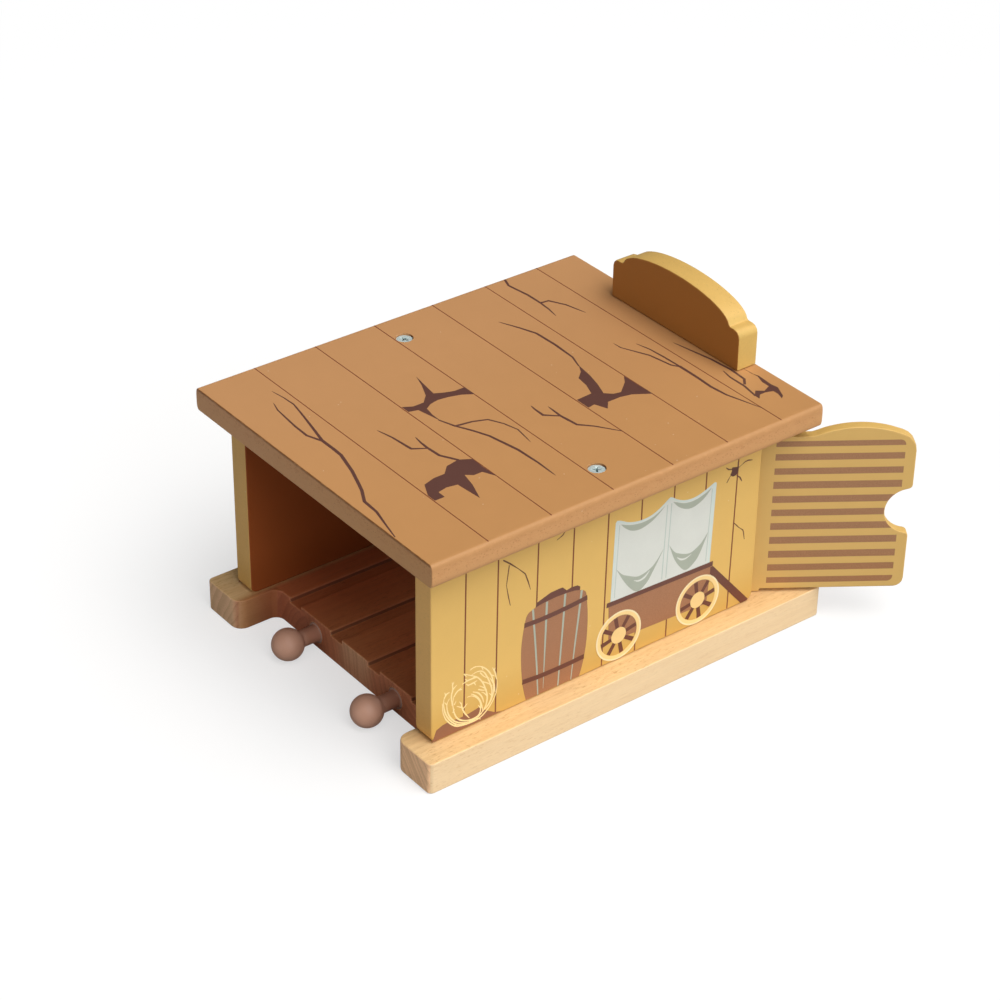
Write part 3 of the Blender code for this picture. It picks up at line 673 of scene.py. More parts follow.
def blunt(widths, samples=25, fullness=0.45, swell=1.3):
    """Spread pen widths evenly, with tapers that stay full until near the tip."""
    out = []
    for k in range(samples):
        along = k / (samples - 1) * (len(widths) - 1)
        j = min(int(along), len(widths) - 2)
        a, b, along = widths[j], widths[j + 1], along - j
        if a == TAPER:
            along = along ** fullness
        elif b == TAPER:
            along = 1.0 - (1.0 - along) ** fullness
        width = a + (b - a) * along
        out.append(width * (swell if width > 0.2 else 1.0))
    return out


# ==== printing: closed slips of ink, a few hundredths of a millimetre proud =========
SLIP_TOP = 0.020        # height of the lowest layer
LAYER_STEP = 0.012
SLIP_DEPTH = 0.12       # how far slips reach into the board
SAME_POINT = 0.004


class Face:
    """A flat printable face: origin, in-plane axes u and v, outward normal, and the body
    that its ink belongs to.  The slot argument is stored but not used."""

    def __init__(self, origin, u_axis, v_axis, out, slot, body="shed"):
        self.origin, self.u_axis, self.v_axis = Vector(origin), Vector(u_axis), Vector(v_axis)
        self.out = Vector(out)
        self.slot, self.body = slot, body

    def at(self, u, v, height):
        return (self.origin + self.u_axis * u + self.v_axis * v + self.out * height) * MM


def signed_area(loop):
    return 0.5 * sum(a[0] * b[1] - b[0] * a[1] for a, b in zip(loop, loop[1:] + loop[:1]))


def tidy(loop, turn):
    """The loop without repeated points; turn is 1 for anticlockwise, -1 for clockwise."""
    kept = []
    for point in loop:
        if not kept or math.dist(point, kept[-1]) > SAME_POINT:
            kept.append(point)
    if math.dist(kept[0], kept[-1]) < SAME_POINT:
        kept.pop()
    if signed_area(kept) * turn < 0:
        kept.reverse()
    return kept


def add_slip(bm, face, shape, lift):
    """A closed slip from an outline, or from an outline followed by holes."""
    loops = shape if isinstance(shape[0][0], (tuple, list)) else [shape]
    loops = [tidy(loop, -1 if i else 1) for i, loop in enumerate(loops)]
    flat = [point for loop in loops for point in loop]
    triangles = tessellate_polygon([[Vector((u, v, 0.0)) for u, v in loop] for loop in loops])
    tops = [bm.verts.new(face.at(u, v, lift)) for u, v in flat]
    feet = [bm.verts.new(face.at(u, v, -SLIP_DEPTH)) for u, v in flat]
    made = []
    for a, b, c in triangles:
        if len({a, b, c}) < 3:
            continue
        # guards against a triangle that the tessellation gives twice
        try:
            made.append(bm.faces.new((tops[a], tops[b], tops[c])))
            made.append(bm.faces.new((feet[c], feet[b], feet[a])))
        except ValueError:
            continue
    start = 0
    for loop in loops:
        count = len(loop)
        for k in range(count):
            a, b = start + k, start + (k + 1) % count
            made.append(bm.faces.new((tops[b], tops[a], feet[a], feet[b])))
        start += count
    bmesh.ops.recalc_face_normals(bm, faces=made)


def add_object(name, bm):
    mesh = bpy.data.meshes.new(name)
    bm.to_mesh(mesh)
    bm.free()
    made = bpy.data.objects.new(name, mesh)
    bpy.context.scene.collection.objects.link(made)
    return made


def slips(name, face, ink_name, layer, shapes, step=None):
    """One object with a slip for each shape, lifted in turn so that they don't share a
    plane: by step, or over a short cycle of heights."""
    bm = bmesh.new()
    top = SLIP_TOP + LAYER_STEP * layer
    for i, shape in enumerate(shapes):
        add_slip(bm, face, shape, top + (0.0012 * (i % 7) if step is None else step * i))
    printed = add_object(name, bm)
    printed.data.materials.append(INKS[ink_name])
    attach(printed, face.body)


# key: (material name, sRGB colour, other arguments of ink)
# foot gains are painted shade and warm bounce light low on the walls and doors
INK_TABLE = {
    "brown": ("ink_dark_brown", (94, 61, 53), {}),
    "crack": ("ink_crack_brown", (108, 70, 56), dict(grain=0.6)),
    "line": ("ink_plank_line", (126, 70, 47), dict(grain=0.6)),
    "wood": ("ink_wood_brown", (162, 115, 84), dict(grain=1.7, foot=(0.96, 0.90, 0.84, 1))),
    "stripe": ("ink_slat_brown", (161, 119, 86), dict(grain=2.3, foot=(1.0, 0.92, 0.80, 1))),
    "hoop": ("ink_hoop_brown", (107, 70, 60), dict(grain=1.5, foot=(1.0, 0.74, 0.60, 1))),
    "stave": ("ink_grey_green", (168, 176, 160), dict(grain=0.5)),
    "cover": ("ink_canvas", (213, 216, 209), dict(grain=0.35)),
    "cover_rim": ("ink_canvas_rim", (205, 216, 211), dict(grain=0.3)),
    "trim": ("ink_canvas_trim", (186, 198, 190), dict(grain=0.3)),
    "swag": ("ink_canvas_fold", (167, 174, 160), dict(grain=0.4)),
    "rim": ("ink_wheel_yellow", (241, 209, 144), dict(grain=0.35)),
    "rim_edge": ("ink_wheel_outline", (240, 222, 178), dict(grain=0.3)),
    "hub": ("ink_hub_yellow", (238, 203, 138), dict(grain=0.35)),
    "straw": ("ink_straw", (246, 220, 160), dict(grain=0.3)),
    "ground": ("ink_ground", (152, 104, 76), dict(foot=(0.88, 0.84, 0.84, 1))),
}
INKS = {key: ink(name, srgb(*colour), **options)
        for key, (name, colour, options) in INK_TABLE.items()}

# ==== roof print ====================================================================
FINE_LINE = 0.42        # width of the plank lines on roof and sign
ROOF_LINE_X = ROOF_HIGH.x - 1.15
# y of each plank line at the left and right ends
ROOF_PLANKS = [(-65.5, -66), (-39.2, -39.8), (-13, -13.4), (13.4, 12.8), (38.1, 37.5),
               (62.7, 62.4)]
# cracks: (x, y) points, then pen widths
ROOF_CRACKS = [
    ([(-52, -69.5), (-46, -68.6), (-40, -68.3), (-33.5, -69.6), (-27, -71), (-14, -74)],
     (TAPER, 0.55, 0.9)),
    ([(-45, -73.5), (-40, -75), (-35, -75.5), (-27.5, -76.2), (-20, -76.4), (-13.5, -74)],
     (TAPER, 0.6, 0.8)),
    ([(-14.5, -74), (-7.5, -74), (-2.5, -74.2), (8, -77), (15, -79.5), (20, -81.4),
      (26, -84.6), (33.5, -85), (42.5, -87.3), (49.3, -88.9)], (1.0, 0.95, 0.9, 0.35)),
    ([(-1.5, -33.8), (5.5, -31.5)], (0.45, 0.7)),
    ([(5.3, -31.5), (6.4, -25), (8.5, -19.8), (14, -17), (20, -15.5), (29, -17)],
     (0.75, 0.5, TAPER)),
    ([(5.3, -31.5), (11.5, -28.4), (17.5, -26), (30.5, -23.6), (41, -23.2), (51, -23.5)],
     (0.65, 0.85, TAPER)),
    ([(-8.5, -55), (-1.5, -53.5), (8.5, -52.6)], (TAPER, 0.8)),
    ([(8.3, -52.7), (11.8, -47.4)], (0.75, 0.45)),
    ([(3, -47), (7, -47.6), (11, -47.8), (17.5, -47.4), (23.8, -43.9)], (TAPER, 0.85, 0.8)),
    ([(-44.5, 25.5), (-37, 28.8), (-29.5, 31.5), (-19, 31.8), (-8, 31.2), (-1.6, 29)],
     (TAPER, 0.75, 0.8, 0.4)),
    ([(10, -2), (13, -2.4), (17.5, -2.5), (21.8, 2.2)], (TAPER, 0.8, 0.5)),
    ([(14, 2.5), (21.5, 2.1), (29.5, 3), (34, 7.3), (42, 12.8)], (TAPER, 0.85, 0.6, 0.3)),
    ([(-69, 47.4), (-64.5, 45.7), (-54.5, 47), (-46.5, 47), (-41, 46.5), (-35.5, 45.5)],
     (0.7, 0.75, TAPER)),
    ([(-46.8, 46.8), (-46.3, 50.5), (-40, 53.8), (-31, 56)], (0.7, 0.6, TAPER)),
    ([(-7, 49.5), (-3, 49.7), (7.5, 54.5), (17.5, 56.2), (20.4, 58.1)], (TAPER, 0.6, 0.6)),
    ([(-2, 56), (4, 57.4), (12, 57.9), (20.4, 58.1)], (TAPER, 0.6, 0.6)),
    ([(19.8, 58.1), (30, 58), (37.5, 57.6), (45, 58.3), (60, 62.6)], (0.9, 0.8, 0.2)),
    ([(5.5, 67.5), (14, 69), (23, 70.6), (33, 71.4), (40.5, 70.8), (43.5, 68.4)],
     (TAPER, 0.75, 0.75)),
    ([(31.5, 68.6), (36.5, 67.6), (44.5, 67.5), (51.8, 66.1)], (TAPER, 0.7, 0.6)),
]
# outlines (x, y) of the broken patches
BROKEN_BOARDS = [
    [(-30, -22.5), (-23.5, -23.5), (-17, -24.5), (-15.2, -21), (-14, -17.5), (-14, -13),
     (-8, -13), (-10.5, -17), (-11.9, -21.5), (-12.5, -26), (-11.8, -29.6), (-10, -32.5),
     (-5.5, -33.4), (-0.5, -33.5), (-11, -35.5), (-12, -39), (-16, -39), (-14, -35.5),
     (-14, -31), (-17.5, -27.5), (-24, -24.5)],
    [(23.5, -44), (26, -39.7), (32.5, -40), (39.5, -39.7), (34.5, -42), (34.5, -45.5),
     (32.5, -48), (39, -49.5), (47, -52.5), (36, -53.5), (35.2, -57.5), (36, -61.5),
     (39.5, -61.5), (39.5, -65.5), (35.5, -65.5), (29.5, -62.5), (28, -57.5), (28, -53),
     (24.5, -49.5)],
    [(-2, 29.3), (6, 28), (12, 26.4), (18.5, 24), (20.9, 26.6), (21.5, 29.5), (17, 35),
     (13.5, 37.5), (20.5, 37.5), (29, 37.9), (25, 31.5), (24, 27), (24, 21.5), (27.5, 18.5),
     (22.5, 16.5), (23, 13.5), (16.5, 13.5), (16, 20.5), (10.5, 22.6), (5, 23.5), (2, 27)],
    [(34, 75.5), (39, 75.5), (42, 76.5), (49, 76), (52, 76.5), (57.5, 74), (58.5, 72.5),
     (55.5, 73.5), (53, 73.5), (52, 70.5), (52, 68), (54, 66), (51.5, 66), (49, 68.5),
     (51, 71), (49.5, 74.5), (46, 74.5), (42, 75.9)],
]


def print_roof():
    face = Face((0, 0, ROOF_HIGH.z), (1, 0, 0), (0, 1, 0), (0, 0, 1), "roof_paint")
    lines = [stroke([(-ROOF_LINE_X, a), (0, (a + b) / 2), (ROOF_LINE_X, b)], FINE_LINE)
             for a, b in ROOF_PLANKS]
    cracks = [stroke(dense(points), *blunt(widths)) for points, widths in ROOF_CRACKS]
    slips("roof_plank_lines", face, "line", 0, lines)
    slips("roof_cracks", face, "brown", 1, cracks)
    slips("roof_broken_boards", face, "brown", 2, BROKEN_BOARDS)


# ==== side walls: (u, v) is (y, z) ==================================================
WALL_TOP = WALL_HIGH.z - 0.5
WALL_FOOT = WALL_LOW.z + 0.45
# y of each plank line at z = 75.9 and 63 mm below
PLANKS = [(-67.9, -68.5), (-54.4, -54.9), (-37.4, -38.2), (-22, -22.7), (-6.9, -7.7),
          (8, 7.5), (22.7, 22), (37.4, 36.8), (52.2, 51.3)]


def plank_at(index, z):
    top, low = PLANKS[index]
    return top + (low - top) * (75.9 - z) / 63.0


# cracks: points, then pen widths
WALL_CRACKS = [
    ([(-52.4, 76), (-49.6, 73.6), (-46, 70.1), (-42.9, 66.7), (-41.6, 63), (-40.5, 59.3)],
     (0.50, 0.58, 0.26, 0.42, 0.52, 0.15)),
    ([(-49.8, 73), (-50.9, 65.2), (-50, 60.4), (-49.1, 56.3)], (0.40, 0.42, 0.20, 0.44, 0.24)),
    ([(-29.6, 75), (-27.1, 76), (-25.5, 78)], (0.2, 0.45, 0.3)),
    ([(plank_at(8, 50.2), 50.4), (54.4, 47.4), (56.6, 45.4), (57, 44.2), (57.6, 41)],
     (0.25, 0.44, 0.22, 0.42, 0.42, 0.2)),
    ([(49.8, 73.9), (48.6, 74), (47.6, 74.4), (46.4, 75.5)], (0.30, 0.50, 0.52, 0.25)),
    ([(52, 73.2), (53.6, 73.9), (55.3, 74.7), (56.9, 74.8), (58.9, 74.2)],
     (0.36, 0.20, 0.45, 0.55, 0.25)),
    ([(49.2, 71.6), (48.4, 70.8), (47.9, 70.1), (47.1, 68.9)], (0.18, 0.24, 0.42, 0.30)),
    ([(51.6, 70.6), (52.6, 69.6), (53.4, 68.9), (54.4, 67)], (0.22, 0.50, 0.55, 0.32)),
    ([(52.1, 73.4), (52.1, 76)], (0.62, 0.52)),
]
HOLE = [(49.4, 74.5), (50.4, 74.3), (52.5, 73.6), (52.3, 72.6), (52.2, 71.8), (51.6, 70.8),
        (50.8, 70.6), (49.9, 70.6), (48.7, 71.6), (48.9, 72.3), (49.3, 73.1), (49.1, 73.9)]
GROUND = [(-81.9, WALL_FOOT), (-80.1, 17.6), (-77.4, 18.6), (-74.9, 18.9), (-70.5, 18.4),
          (-66.5, 18.5), (-61.9, 19.3), (-58.8, 16.5), (-54.9, 14), (-51.8, WALL_FOOT)]

# tumbleweed: long stems swept round the ball, and forked twigs off them
WEED_STEMS = [
    [(-77.6, 27.8), (-77.3, 23.8), (-75.7, 19.7), (-72.3, 16), (-69, 14.8), (-65.7, 14.4),
     (-62.3, 14.5), (-59.5, 15.8), (-56.8, 18.4), (-54.8, 22), (-54.3, 25.7), (-54.5, 28.5)],
    [(-76.8, 30.1), (-77.1, 27), (-76.2, 22.7), (-74, 18.7), (-71, 16), (-67.3, 14.7)],
    [(-74.6, 28.6), (-75.7, 26.4), (-75.1, 22.3), (-72.9, 18.5), (-69.6, 16), (-66.2, 15),
     (-62.9, 15), (-60.7, 16.3)],
    [(-72.7, 28.8), (-73.2, 25.8), (-72.6, 21.7), (-71, 18.4), (-67.9, 16.2), (-64.6, 15.5),
     (-62.1, 16.1), (-61.3, 18.3), (-61.5, 21.1), (-63, 23.7), (-65.2, 25.5), (-67.1, 25.8)],
    [(-66.2, 15.3), (-63.4, 15.3), (-60.7, 16.6), (-59, 18.9), (-58.5, 22.5), (-59.4, 26.2),
     (-60.8, 29.6), (-63, 32.5), (-65.8, 34.4), (-68.5, 36.2)],
    [(-60.7, 16.8), (-57.9, 18.4), (-56.2, 21.5), (-55.7, 24.6), (-56, 27.5), (-56.9, 30.7),
     (-58.6, 33.6), (-60.9, 35.9), (-63.6, 37.1), (-65.8, 37)],
    [(-59, 17.7), (-57.1, 20.2), (-56.5, 23.9), (-57.4, 27.6), (-59.2, 31.9), (-60.8, 34),
     (-63.1, 34.7), (-65.3, 34.3)],
    [(-54.6, 28), (-55.2, 31), (-56.4, 33.6)],
    [(-55.1, 22.7), (-55.7, 26.3), (-57.5, 29.8)],
    [(-65.5, 26.5), (-63.5, 24.8), (-61.8, 22.4), (-60.7, 19.1), (-60.4, 16.7)],
    [(-64.7, 27), (-62.4, 25.5), (-60.7, 23), (-60, 20.4)],
    [(-73.5, 25.1), (-73.8, 29.3), (-73.2, 31.8), (-73.5, 34.9)],
    [(-72.9, 28.1), (-71.6, 29.9), (-69.5, 30.9)],
    [(-76.8, 29.5), (-75.9, 30.9), (-74.5, 31.2)],
    [(-69.2, 32.2), (-66.9, 32.7), (-64.2, 32.6), (-62.4, 32.2)],
    [(-67, 30.6), (-64.7, 30.7), (-62.9, 31)],
    [(-69.6, 24.6), (-69.3, 22.4), (-68.2, 19.7), (-66.1, 16.5)],
]
WEED_TWIGS = [
    [(-73.2, 31.7), (-71.5, 33)], [(-73.4, 33.5), (-72.7, 34.8)],
    [(-70.7, 30.4), (-69.3, 30.1)], [(-76.2, 30.4), (-76.6, 32)],
    [(-66.9, 32.7), (-68.1, 33.9)], [(-65.3, 32.7), (-63.5, 33.2)],
    [(-69.3, 22.4), (-71.5, 23.9)], [(-69, 21.6), (-67, 23.1)],
    [(-69.5, 23.9), (-70.4, 25.4)], [(-68.4, 20), (-69, 21.7)],
    [(-62.4, 27), (-60.2, 25.7), (-58.7, 25.5)], [(-60.8, 29.6), (-58.6, 28.1), (-56.4, 26)],
    [(-61.7, 33.8), (-59.7, 31.2), (-57.9, 30)], [(-55.7, 32.4), (-55.1, 33)],
    [(-59.4, 26.2), (-60.8, 27.4), (-61.9, 28.3)],
    [(-58.5, 22.5), (-59.9, 24.4), (-61, 25.2)], [(-56.3, 21.6), (-57.7, 23.3)],
    [(-63.6, 37.1), (-64.7, 37.1), (-66.1, 36.6)], [(-60.9, 35.9), (-60.4, 34.3)],
    [(-75.7, 26.4), (-76.7, 27.9)], [(-72.6, 25), (-71.8, 26.3)],
    [(-73.2, 21.9), (-72.5, 23.3)], [(-62.9, 15), (-61.2, 13.9)],
    [(-71.8, 16), (-72.6, 17.2)], [(-68.5, 36.2), (-67.5, 34.6)],
    [(-66.3, 30.4), (-67.7, 31.6)], [(-64.1, 30.5), (-63.5, 29.3)],
    [(-61.4, 18.8), (-62.3, 20.3)], [(-69, 14.8), (-68.3, 15.3)],
    [(-56.9, 30.7), (-55.5, 29.7)],
]

# barrel, drawn round u = BARREL_U: its sides are curves, its top and head broken lines
BARREL_U = -29.3
BARREL_LEFT = [(-39.2, 50.6), (-41.6, 49.3), (-42.8, 45.6), (-43.9, 38), (-44, 30.5),
               (-43.4, 22.4), (-42.6, 17.5), (-41.6, WALL_FOOT)]
BARREL_RIGHT = [(-17.8, WALL_FOOT), (-16.3, 18.6), (-15.2, 25.5), (-14.8, 32.5),
                (-14.9, 39.2), (-15.5, 45.4), (-16.1, 48.4), (-17.4, 49.7)]
BARREL_TOP = [(-21, 50.9), (-25, 51.4), (-29, 51.6), (-33, 51.5), (-36.4, 51.2)]
BARREL_HEAD = [(-38.6, 49.8), (-38, 51.4), (-37.7, 52.6), (-34.8, 53.5), (-31.7, 54.4),
               (-28, 54.5), (-26.4, 54.4), (-24.6, 52.5), (-22.4, 52.9), (-19.9, 52.6),
               (-18.6, 51.6), (-18.8, 49)]
# points, then pen widths
BARREL_HOOPS = [
    ([(-42.9, 45.3), (-36, 44.9), (-29, 44.9), (-22, 45.2), (-15.3, 45.7)], (2.0,)),
    ([(-43.3, 21.6), (-36, 20.9), (-29, 20.7), (-22, 20.7), (-15.9, 20.9)], (2.0,)),
]
BARREL_SEAMS = [
    ([(-39.3, 50.6), (-38.1, 38), (-37, 25), (-36.3, WALL_FOOT)], (0.85, 0.75, 0.7, 0.5)),
    ([(-33.2, 51.3), (-33.5, 38), (-33.8, 25), (-34, 14.9)], (0.95, 0.8, 0.5, 0.15)),
    ([(-25.2, 51.3), (-25.9, 38), (-26.7, 25), (-27.4, WALL_FOOT)], (0.9, 0.75, 0.7, 0.5)),
    ([(-17.9, 49.8), (-19.1, 38), (-20.4, 26), (-21.6, WALL_FOOT)], (0.95, 0.8, 0.6, 0.35)),
]

# covered wagon
CANVAS_EDGE = [(-3, 72.5), (-1.2, 71.8), (1.6, 70.2), (4.6, 69.1), (8.2, 68.5), (12.2, 68.7),
               (15.4, 69.8), (18, 71.2), (20, 72.5), (21, 72.9), (22.2, 72.3), (24.4, 70.7),
               (27.6, 69.2), (31, 68.6), (34.4, 68.9), (38, 70), (40.4, 71), (41.6, 71.4)]
CANVAS_INSET = 0.15
# upper edge of the canvas inside its rim, before it is lowered by the inset
INNER_EDGE = [(-2.555, 71.4), (-1, 70.9), (1.6, 69.5), (4.6, 68.5), (8.2, 67.9), (12.2, 68.1),
              (15.4, 69.1), (18, 70.5), (20.2, 71.6), (21.2, 72), (22.2, 71.5), (24.6, 69.9),
              (27.6, 68.5), (31, 67.9), (34.4, 68.2), (38, 69.3), (40.6, 70.3)]
# points, then pen width
CANVAS_SEAMS = [([(-1.9, 70.3), (-3, 40.3)], 0.35), ([(40.4, 69.2), (39.3, 38.8)], 0.35),
                ([(19.7, 70.3), (18.7, 39.4)], 0.4), ([(21.6, 70.3), (20.6, 39.3)], 0.4)]
# steps between points, upper curve, lower curve back to the start
CANVAS_FOLDS = [
    (5, [(-1.4, 70.4), (1.6, 69), (4.6, 68), (8.2, 67.4), (12.2, 67.6), (15.4, 68.6),
         (18.6, 70.4)],
     [(18.6, 70.3), (15.2, 67.6), (11.6, 65.8), (7.4, 65), (3.6, 65.9), (0.8, 67.9),
      (-1.3, 70.2)]),
    (5, [(22.2, 70.6), (24.6, 69.4), (27.6, 68), (31, 67.4), (34.4, 67.7), (37.6, 68.6),
         (40, 69.7)],
     [(40, 69.6), (37.6, 67.2), (35, 65.6), (31.6, 64.7), (28.4, 65.3), (25, 67.4),
      (22.3, 70.4)]),
    (6, [(-2.6, 52.2), (0.2, 49), (2.6, 47.5), (7.6, 45.2), (12.8, 46.2), (15.8, 48.4),
         (18.8, 52.2)],
     [(18.8, 52), (14.4, 44.7), (11.6, 40.8), (8.2, 38.9), (5.4, 40.2), (1.6, 44.9),
      (-2.5, 51.9)]),
    (6, [(21.5, 52.8), (23.4, 49.8), (25.7, 47.7), (31.3, 45.5), (35.8, 47.2), (37.6, 48.8),
         (39.6, 51.2)],
     [(39.6, 51), (36.3, 43.8), (34, 40.8), (30.6, 38.9), (28, 40.2), (24.4, 45.4),
      (21.6, 52.4)]),
]
# points, then pen widths
CANVAS_GLINTS = [
    ([(5.6, 44.2), (8, 43.2), (10.6, 43.7), (12.8, 45.6)], (0.15, 0.75, 0.9, 0.2)),
    ([(25.4, 46), (27.4, 44.4), (29.6, 44), (32.2, 44.8)], (0.2, 0.8, 0.6, 0.15)),
]
WAGON_BOX = [(-5.4, 37.8), (42, 36), (41.7, 31), (40.8, 19.9), (9.6, 21.3), (-4.9, 22)]
WAGON_RAIL = [(-6.3, 39.3), (42.9, 37.5), (42.8, 35.5), (-6.4, 37.4)]
DRAWBAR = [(41.8, 35.3), (43, 35.3), (61.4, 13.5), (61.2, 13), (57.9, 13), (41.7, 32.4)]
WHEEL_RADIUS = 10.25
# centre, then the first spoke's angle in degrees
WHEELS = [((-0.35, 23.3), 12.0), ((36.4, 23.25), 9.0)]


def print_barrel(name, face, centre, flip=1):
    """A staved barrel with two hoops and a broken head; flip = -1 mirrors it."""
    def moved(points):
        return [(centre + flip * (u - BARREL_U), v) for u, v in points]

    body = catmull(BARREL_LEFT, 6) + catmull(BARREL_RIGHT, 6) + BARREL_TOP
    slips(name + "_head", face, "hoop", 1, [moved(BARREL_HEAD)])
    slips(name, face, "wood", 2, [moved(body)])
    slips(name + "_seams", face, "stave", 3, [moved(stroke(p, *w)) for p, w in BARREL_SEAMS])
    slips(name + "_hoops", face, "hoop", 4, [moved(stroke(p, *w)) for p, w in BARREL_HOOPS])


def wheel_spokes(centre, first_angle, inner=2.4, outer=WHEEL_RADIUS - 2.2):
    spokes = []
    for k in range(8):
        angle = math.radians(first_angle + 45 * k)
        ends = [(centre[0] + math.cos(angle) * r, centre[1] + math.sin(angle) * r)
                for r in (inner, outer)]
        spokes.append(stroke(ends, 1.5, 1.75))
    return spokes


def print_wagon(name, face):
    """Canvas, folds, box, rail, drawbar and wheels."""
    rim = [(-4.7, 39.2), (-3.7, 71.8)] + catmull(CANVAS_EDGE, 5) + [(42.3, 70.9), (41.3, 37.4)]
    lowered = catmull([(u, v - CANVAS_INSET) for u, v in INNER_EDGE], 5)
    canvas = [(-4.0 + CANVAS_INSET, 39.2)] + lowered + [(40.4 - CANVAS_INSET, 37.6)]
    folds = [catmull(upper, steps) + catmull(lower, steps)[1:-1]
             for steps, upper, lower in CANVAS_FOLDS]
    spokes = [spoke for centre, angle in WHEELS for spoke in wheel_spokes(centre, angle)]
    rims = [[circle(c, WHEEL_RADIUS - 0.28, 72), circle(c, WHEEL_RADIUS - 1.95, 64)]
            for c, _ in WHEELS]
    outlines = [[circle(c, WHEEL_RADIUS, 72), circle(c, WHEEL_RADIUS - 0.6, 72)]
                for c, _ in WHEELS]
    # part, ink, layer, shapes
    for part, ink_name, layer, shapes in (
            ("canvas_rim", "cover_rim", 2, [rim]),
            ("canvas", "cover", 3, [canvas]),
            ("canvas_seams", "trim", 5, [stroke(p, w) for p, w in CANVAS_SEAMS]),
            ("canvas_folds", "swag", 6, folds),
            ("canvas_glints", "cover", 7, [stroke(catmull(p, 5), *w) for p, w in CANVAS_GLINTS]),
            ("wagon_box", "wood", 7, [WAGON_BOX]),
            ("wagon_rail", "hoop", 8, [WAGON_RAIL, DRAWBAR]),
            ("wheel_spokes", "hoop", 9, spokes),
            ("wheel_rims", "rim", 10, rims),
            ("wheel_rim_outlines", "rim_edge", 11, outlines),
            ("wheel_hubs", "hub", 11, [circle(c, 3.35, 40) for c, _ in WHEELS])):
        slips(name + part, face, ink_name, layer, shapes)


def print_wall(side, sign):
    """The right wall has the wagon, the left one a second barrel."""
    name = side + "_wall_"
    face = Face((sign * WALL_HIGH.x, 0, 0), (0, 1, 0), (0, 0, 1), (sign, 0, 0), "wall_paint")
    planks = [stroke([(plank_at(i, z), z) for z in (WALL_TOP, 48.0, WALL_FOOT)],
                     0.58, 0.60, 0.58) for i in range(len(PLANKS))]
    weed = [stroke(catmull(p, 4), 0.28, 0.62, 0.56, 0.24) for p in WEED_STEMS]
    weed += [stroke(catmull(p, 3), 0.50, 0.42, 0.20) for p in WEED_TWIGS]
    slips(name + "plank_lines", face, "line", 0, planks)
    slips(name + "cracks", face, "crack", 1, [stroke(dense(p), *w) for p, w in WALL_CRACKS])
    slips(name + "hole", face, "brown", 2, [catmull(HOLE, 4, closed=True)])
    slips(name + "ground", face, "ground", 1, [GROUND])
    slips(name + "tumbleweed", face, "straw", 2, weed, step=0.0004)
    print_barrel(name + "barrel", face, BARREL_U)
    if side == "left":
        print_barrel(name + "far_barrel", face, 24.0, flip=-1)
    else:
        print_wagon(name, face)


# ==== doors: u runs from the hinge along the leaf, v is z ===========================
HINGES = {j["child"]: Vector(j["pos_m"]) / MM for j in frame["joints"]}
DOOR_THICKNESS = 4.0
DOORS = ("left_door", "right_door")
SWING = {"left_door": 0.0, "right_door": 124.6}     # degrees open at rest
SLAT_START, SLAT_END = 4.5, 51.1
NOTCH_CENTRE, NOTCH_RADIUS = (55.18, 47.1), 9.4     # the slats stop short of this circle
NOTCH_GAP = 0.25
TOP_CORNER, BOTTOM_CORNER = 2.1, 2.0                # corner radii of the outer slats
# lower and upper edge of each slat
SLATS = [(75.2, 77.5), (69.5, 72.2), (63.5, 66.2), (57.5, 60.5), (51.5, 54.4), (45.8, 48.6),
         (39.9, 42.8), (33.8, 36.8), (27.7, 30.7), (22, 24.8), (16.6, 19.1)]


def door_axes(door):
    """Unit vectors along the leaf and out of its printed face, as posed at rest."""
    if door == "right_door":
        angle = math.radians(180.0 - SWING[door])
        along = Vector((math.cos(angle), math.sin(angle), 0))
        return along, Vector((along.y, -along.x, 0))
    angle = math.radians(SWING[door])
    along = Vector((math.cos(angle), math.sin(angle), 0))
    return along, Vector((-along.y, along.x, 0))


def slat_end(z):
    reach = NOTCH_RADIUS ** 2 - (z - NOTCH_CENTRE[1]) ** 2
    if reach <= 0:
        return SLAT_END
    return min(SLAT_END, NOTCH_CENTRE[0] - math.sqrt(reach) - NOTCH_GAP)


def slat_outline(index):
    low, high = SLATS[index]
    if index == 0:
        r = TOP_CORNER
        right = [(SLAT_END, low)] + arc((SLAT_END - r, high - r), r, r, 0, 90, 8)
    elif index == len(SLATS) - 1:
        r = BOTTOM_CORNER
        right = arc((SLAT_END - r, low + r), r, r, -90, 0, 8) + [(SLAT_END, high)]
    else:
        heights = [low + (high - low) * k / 10 for k in range(11)]
        right = [(slat_end(z), z) for z in heights]
    return [(SLAT_START, low)] + right + [(SLAT_START, high)]


def print_door(door):
    along, out = door_axes(door)
    hinge = HINGES[door]
    origin = Vector((hinge.x, hinge.y, 0)) + out * (DOOR_THICKNESS / 2)
    face = Face(origin, along, (0, 0, 1), out, "door_paint", door)
    slips(door + "_slats", face, "stripe", 0, [slat_outline(i) for i in range(len(SLATS))])


# ==== sign board: a plain border on the back ========================================
SIGN_SHOULDER_Z = 110.1
SIGN_CORNER = 2.2
SIGN_ARCH = (29.5, 8.3)     # half width and rise of the arch on top


def sign_outline(inset):
    """The board's outline above the roof, moved inwards."""
    side = SIGN_HIGH.x - inset
    foot = ROOF_HIGH.z + 1.0 + inset
    r = SIGN_CORNER
    corner_z = SIGN_SHOULDER_Z - inset - r
    width, rise = SIGN_ARCH
    points = [(-side, foot)]
    points += arc((-side + r, corner_z), r, r, 180, 90, 6)
    points += arc((0, SIGN_SHOULDER_Z - inset * 0.6), width - inset * 0.8, rise - inset * 0.5,
                  180, 0, 36)
    points += arc((side - r, corner_z), r, r, 90, 0, 6)
    return points + [(side, foot)]


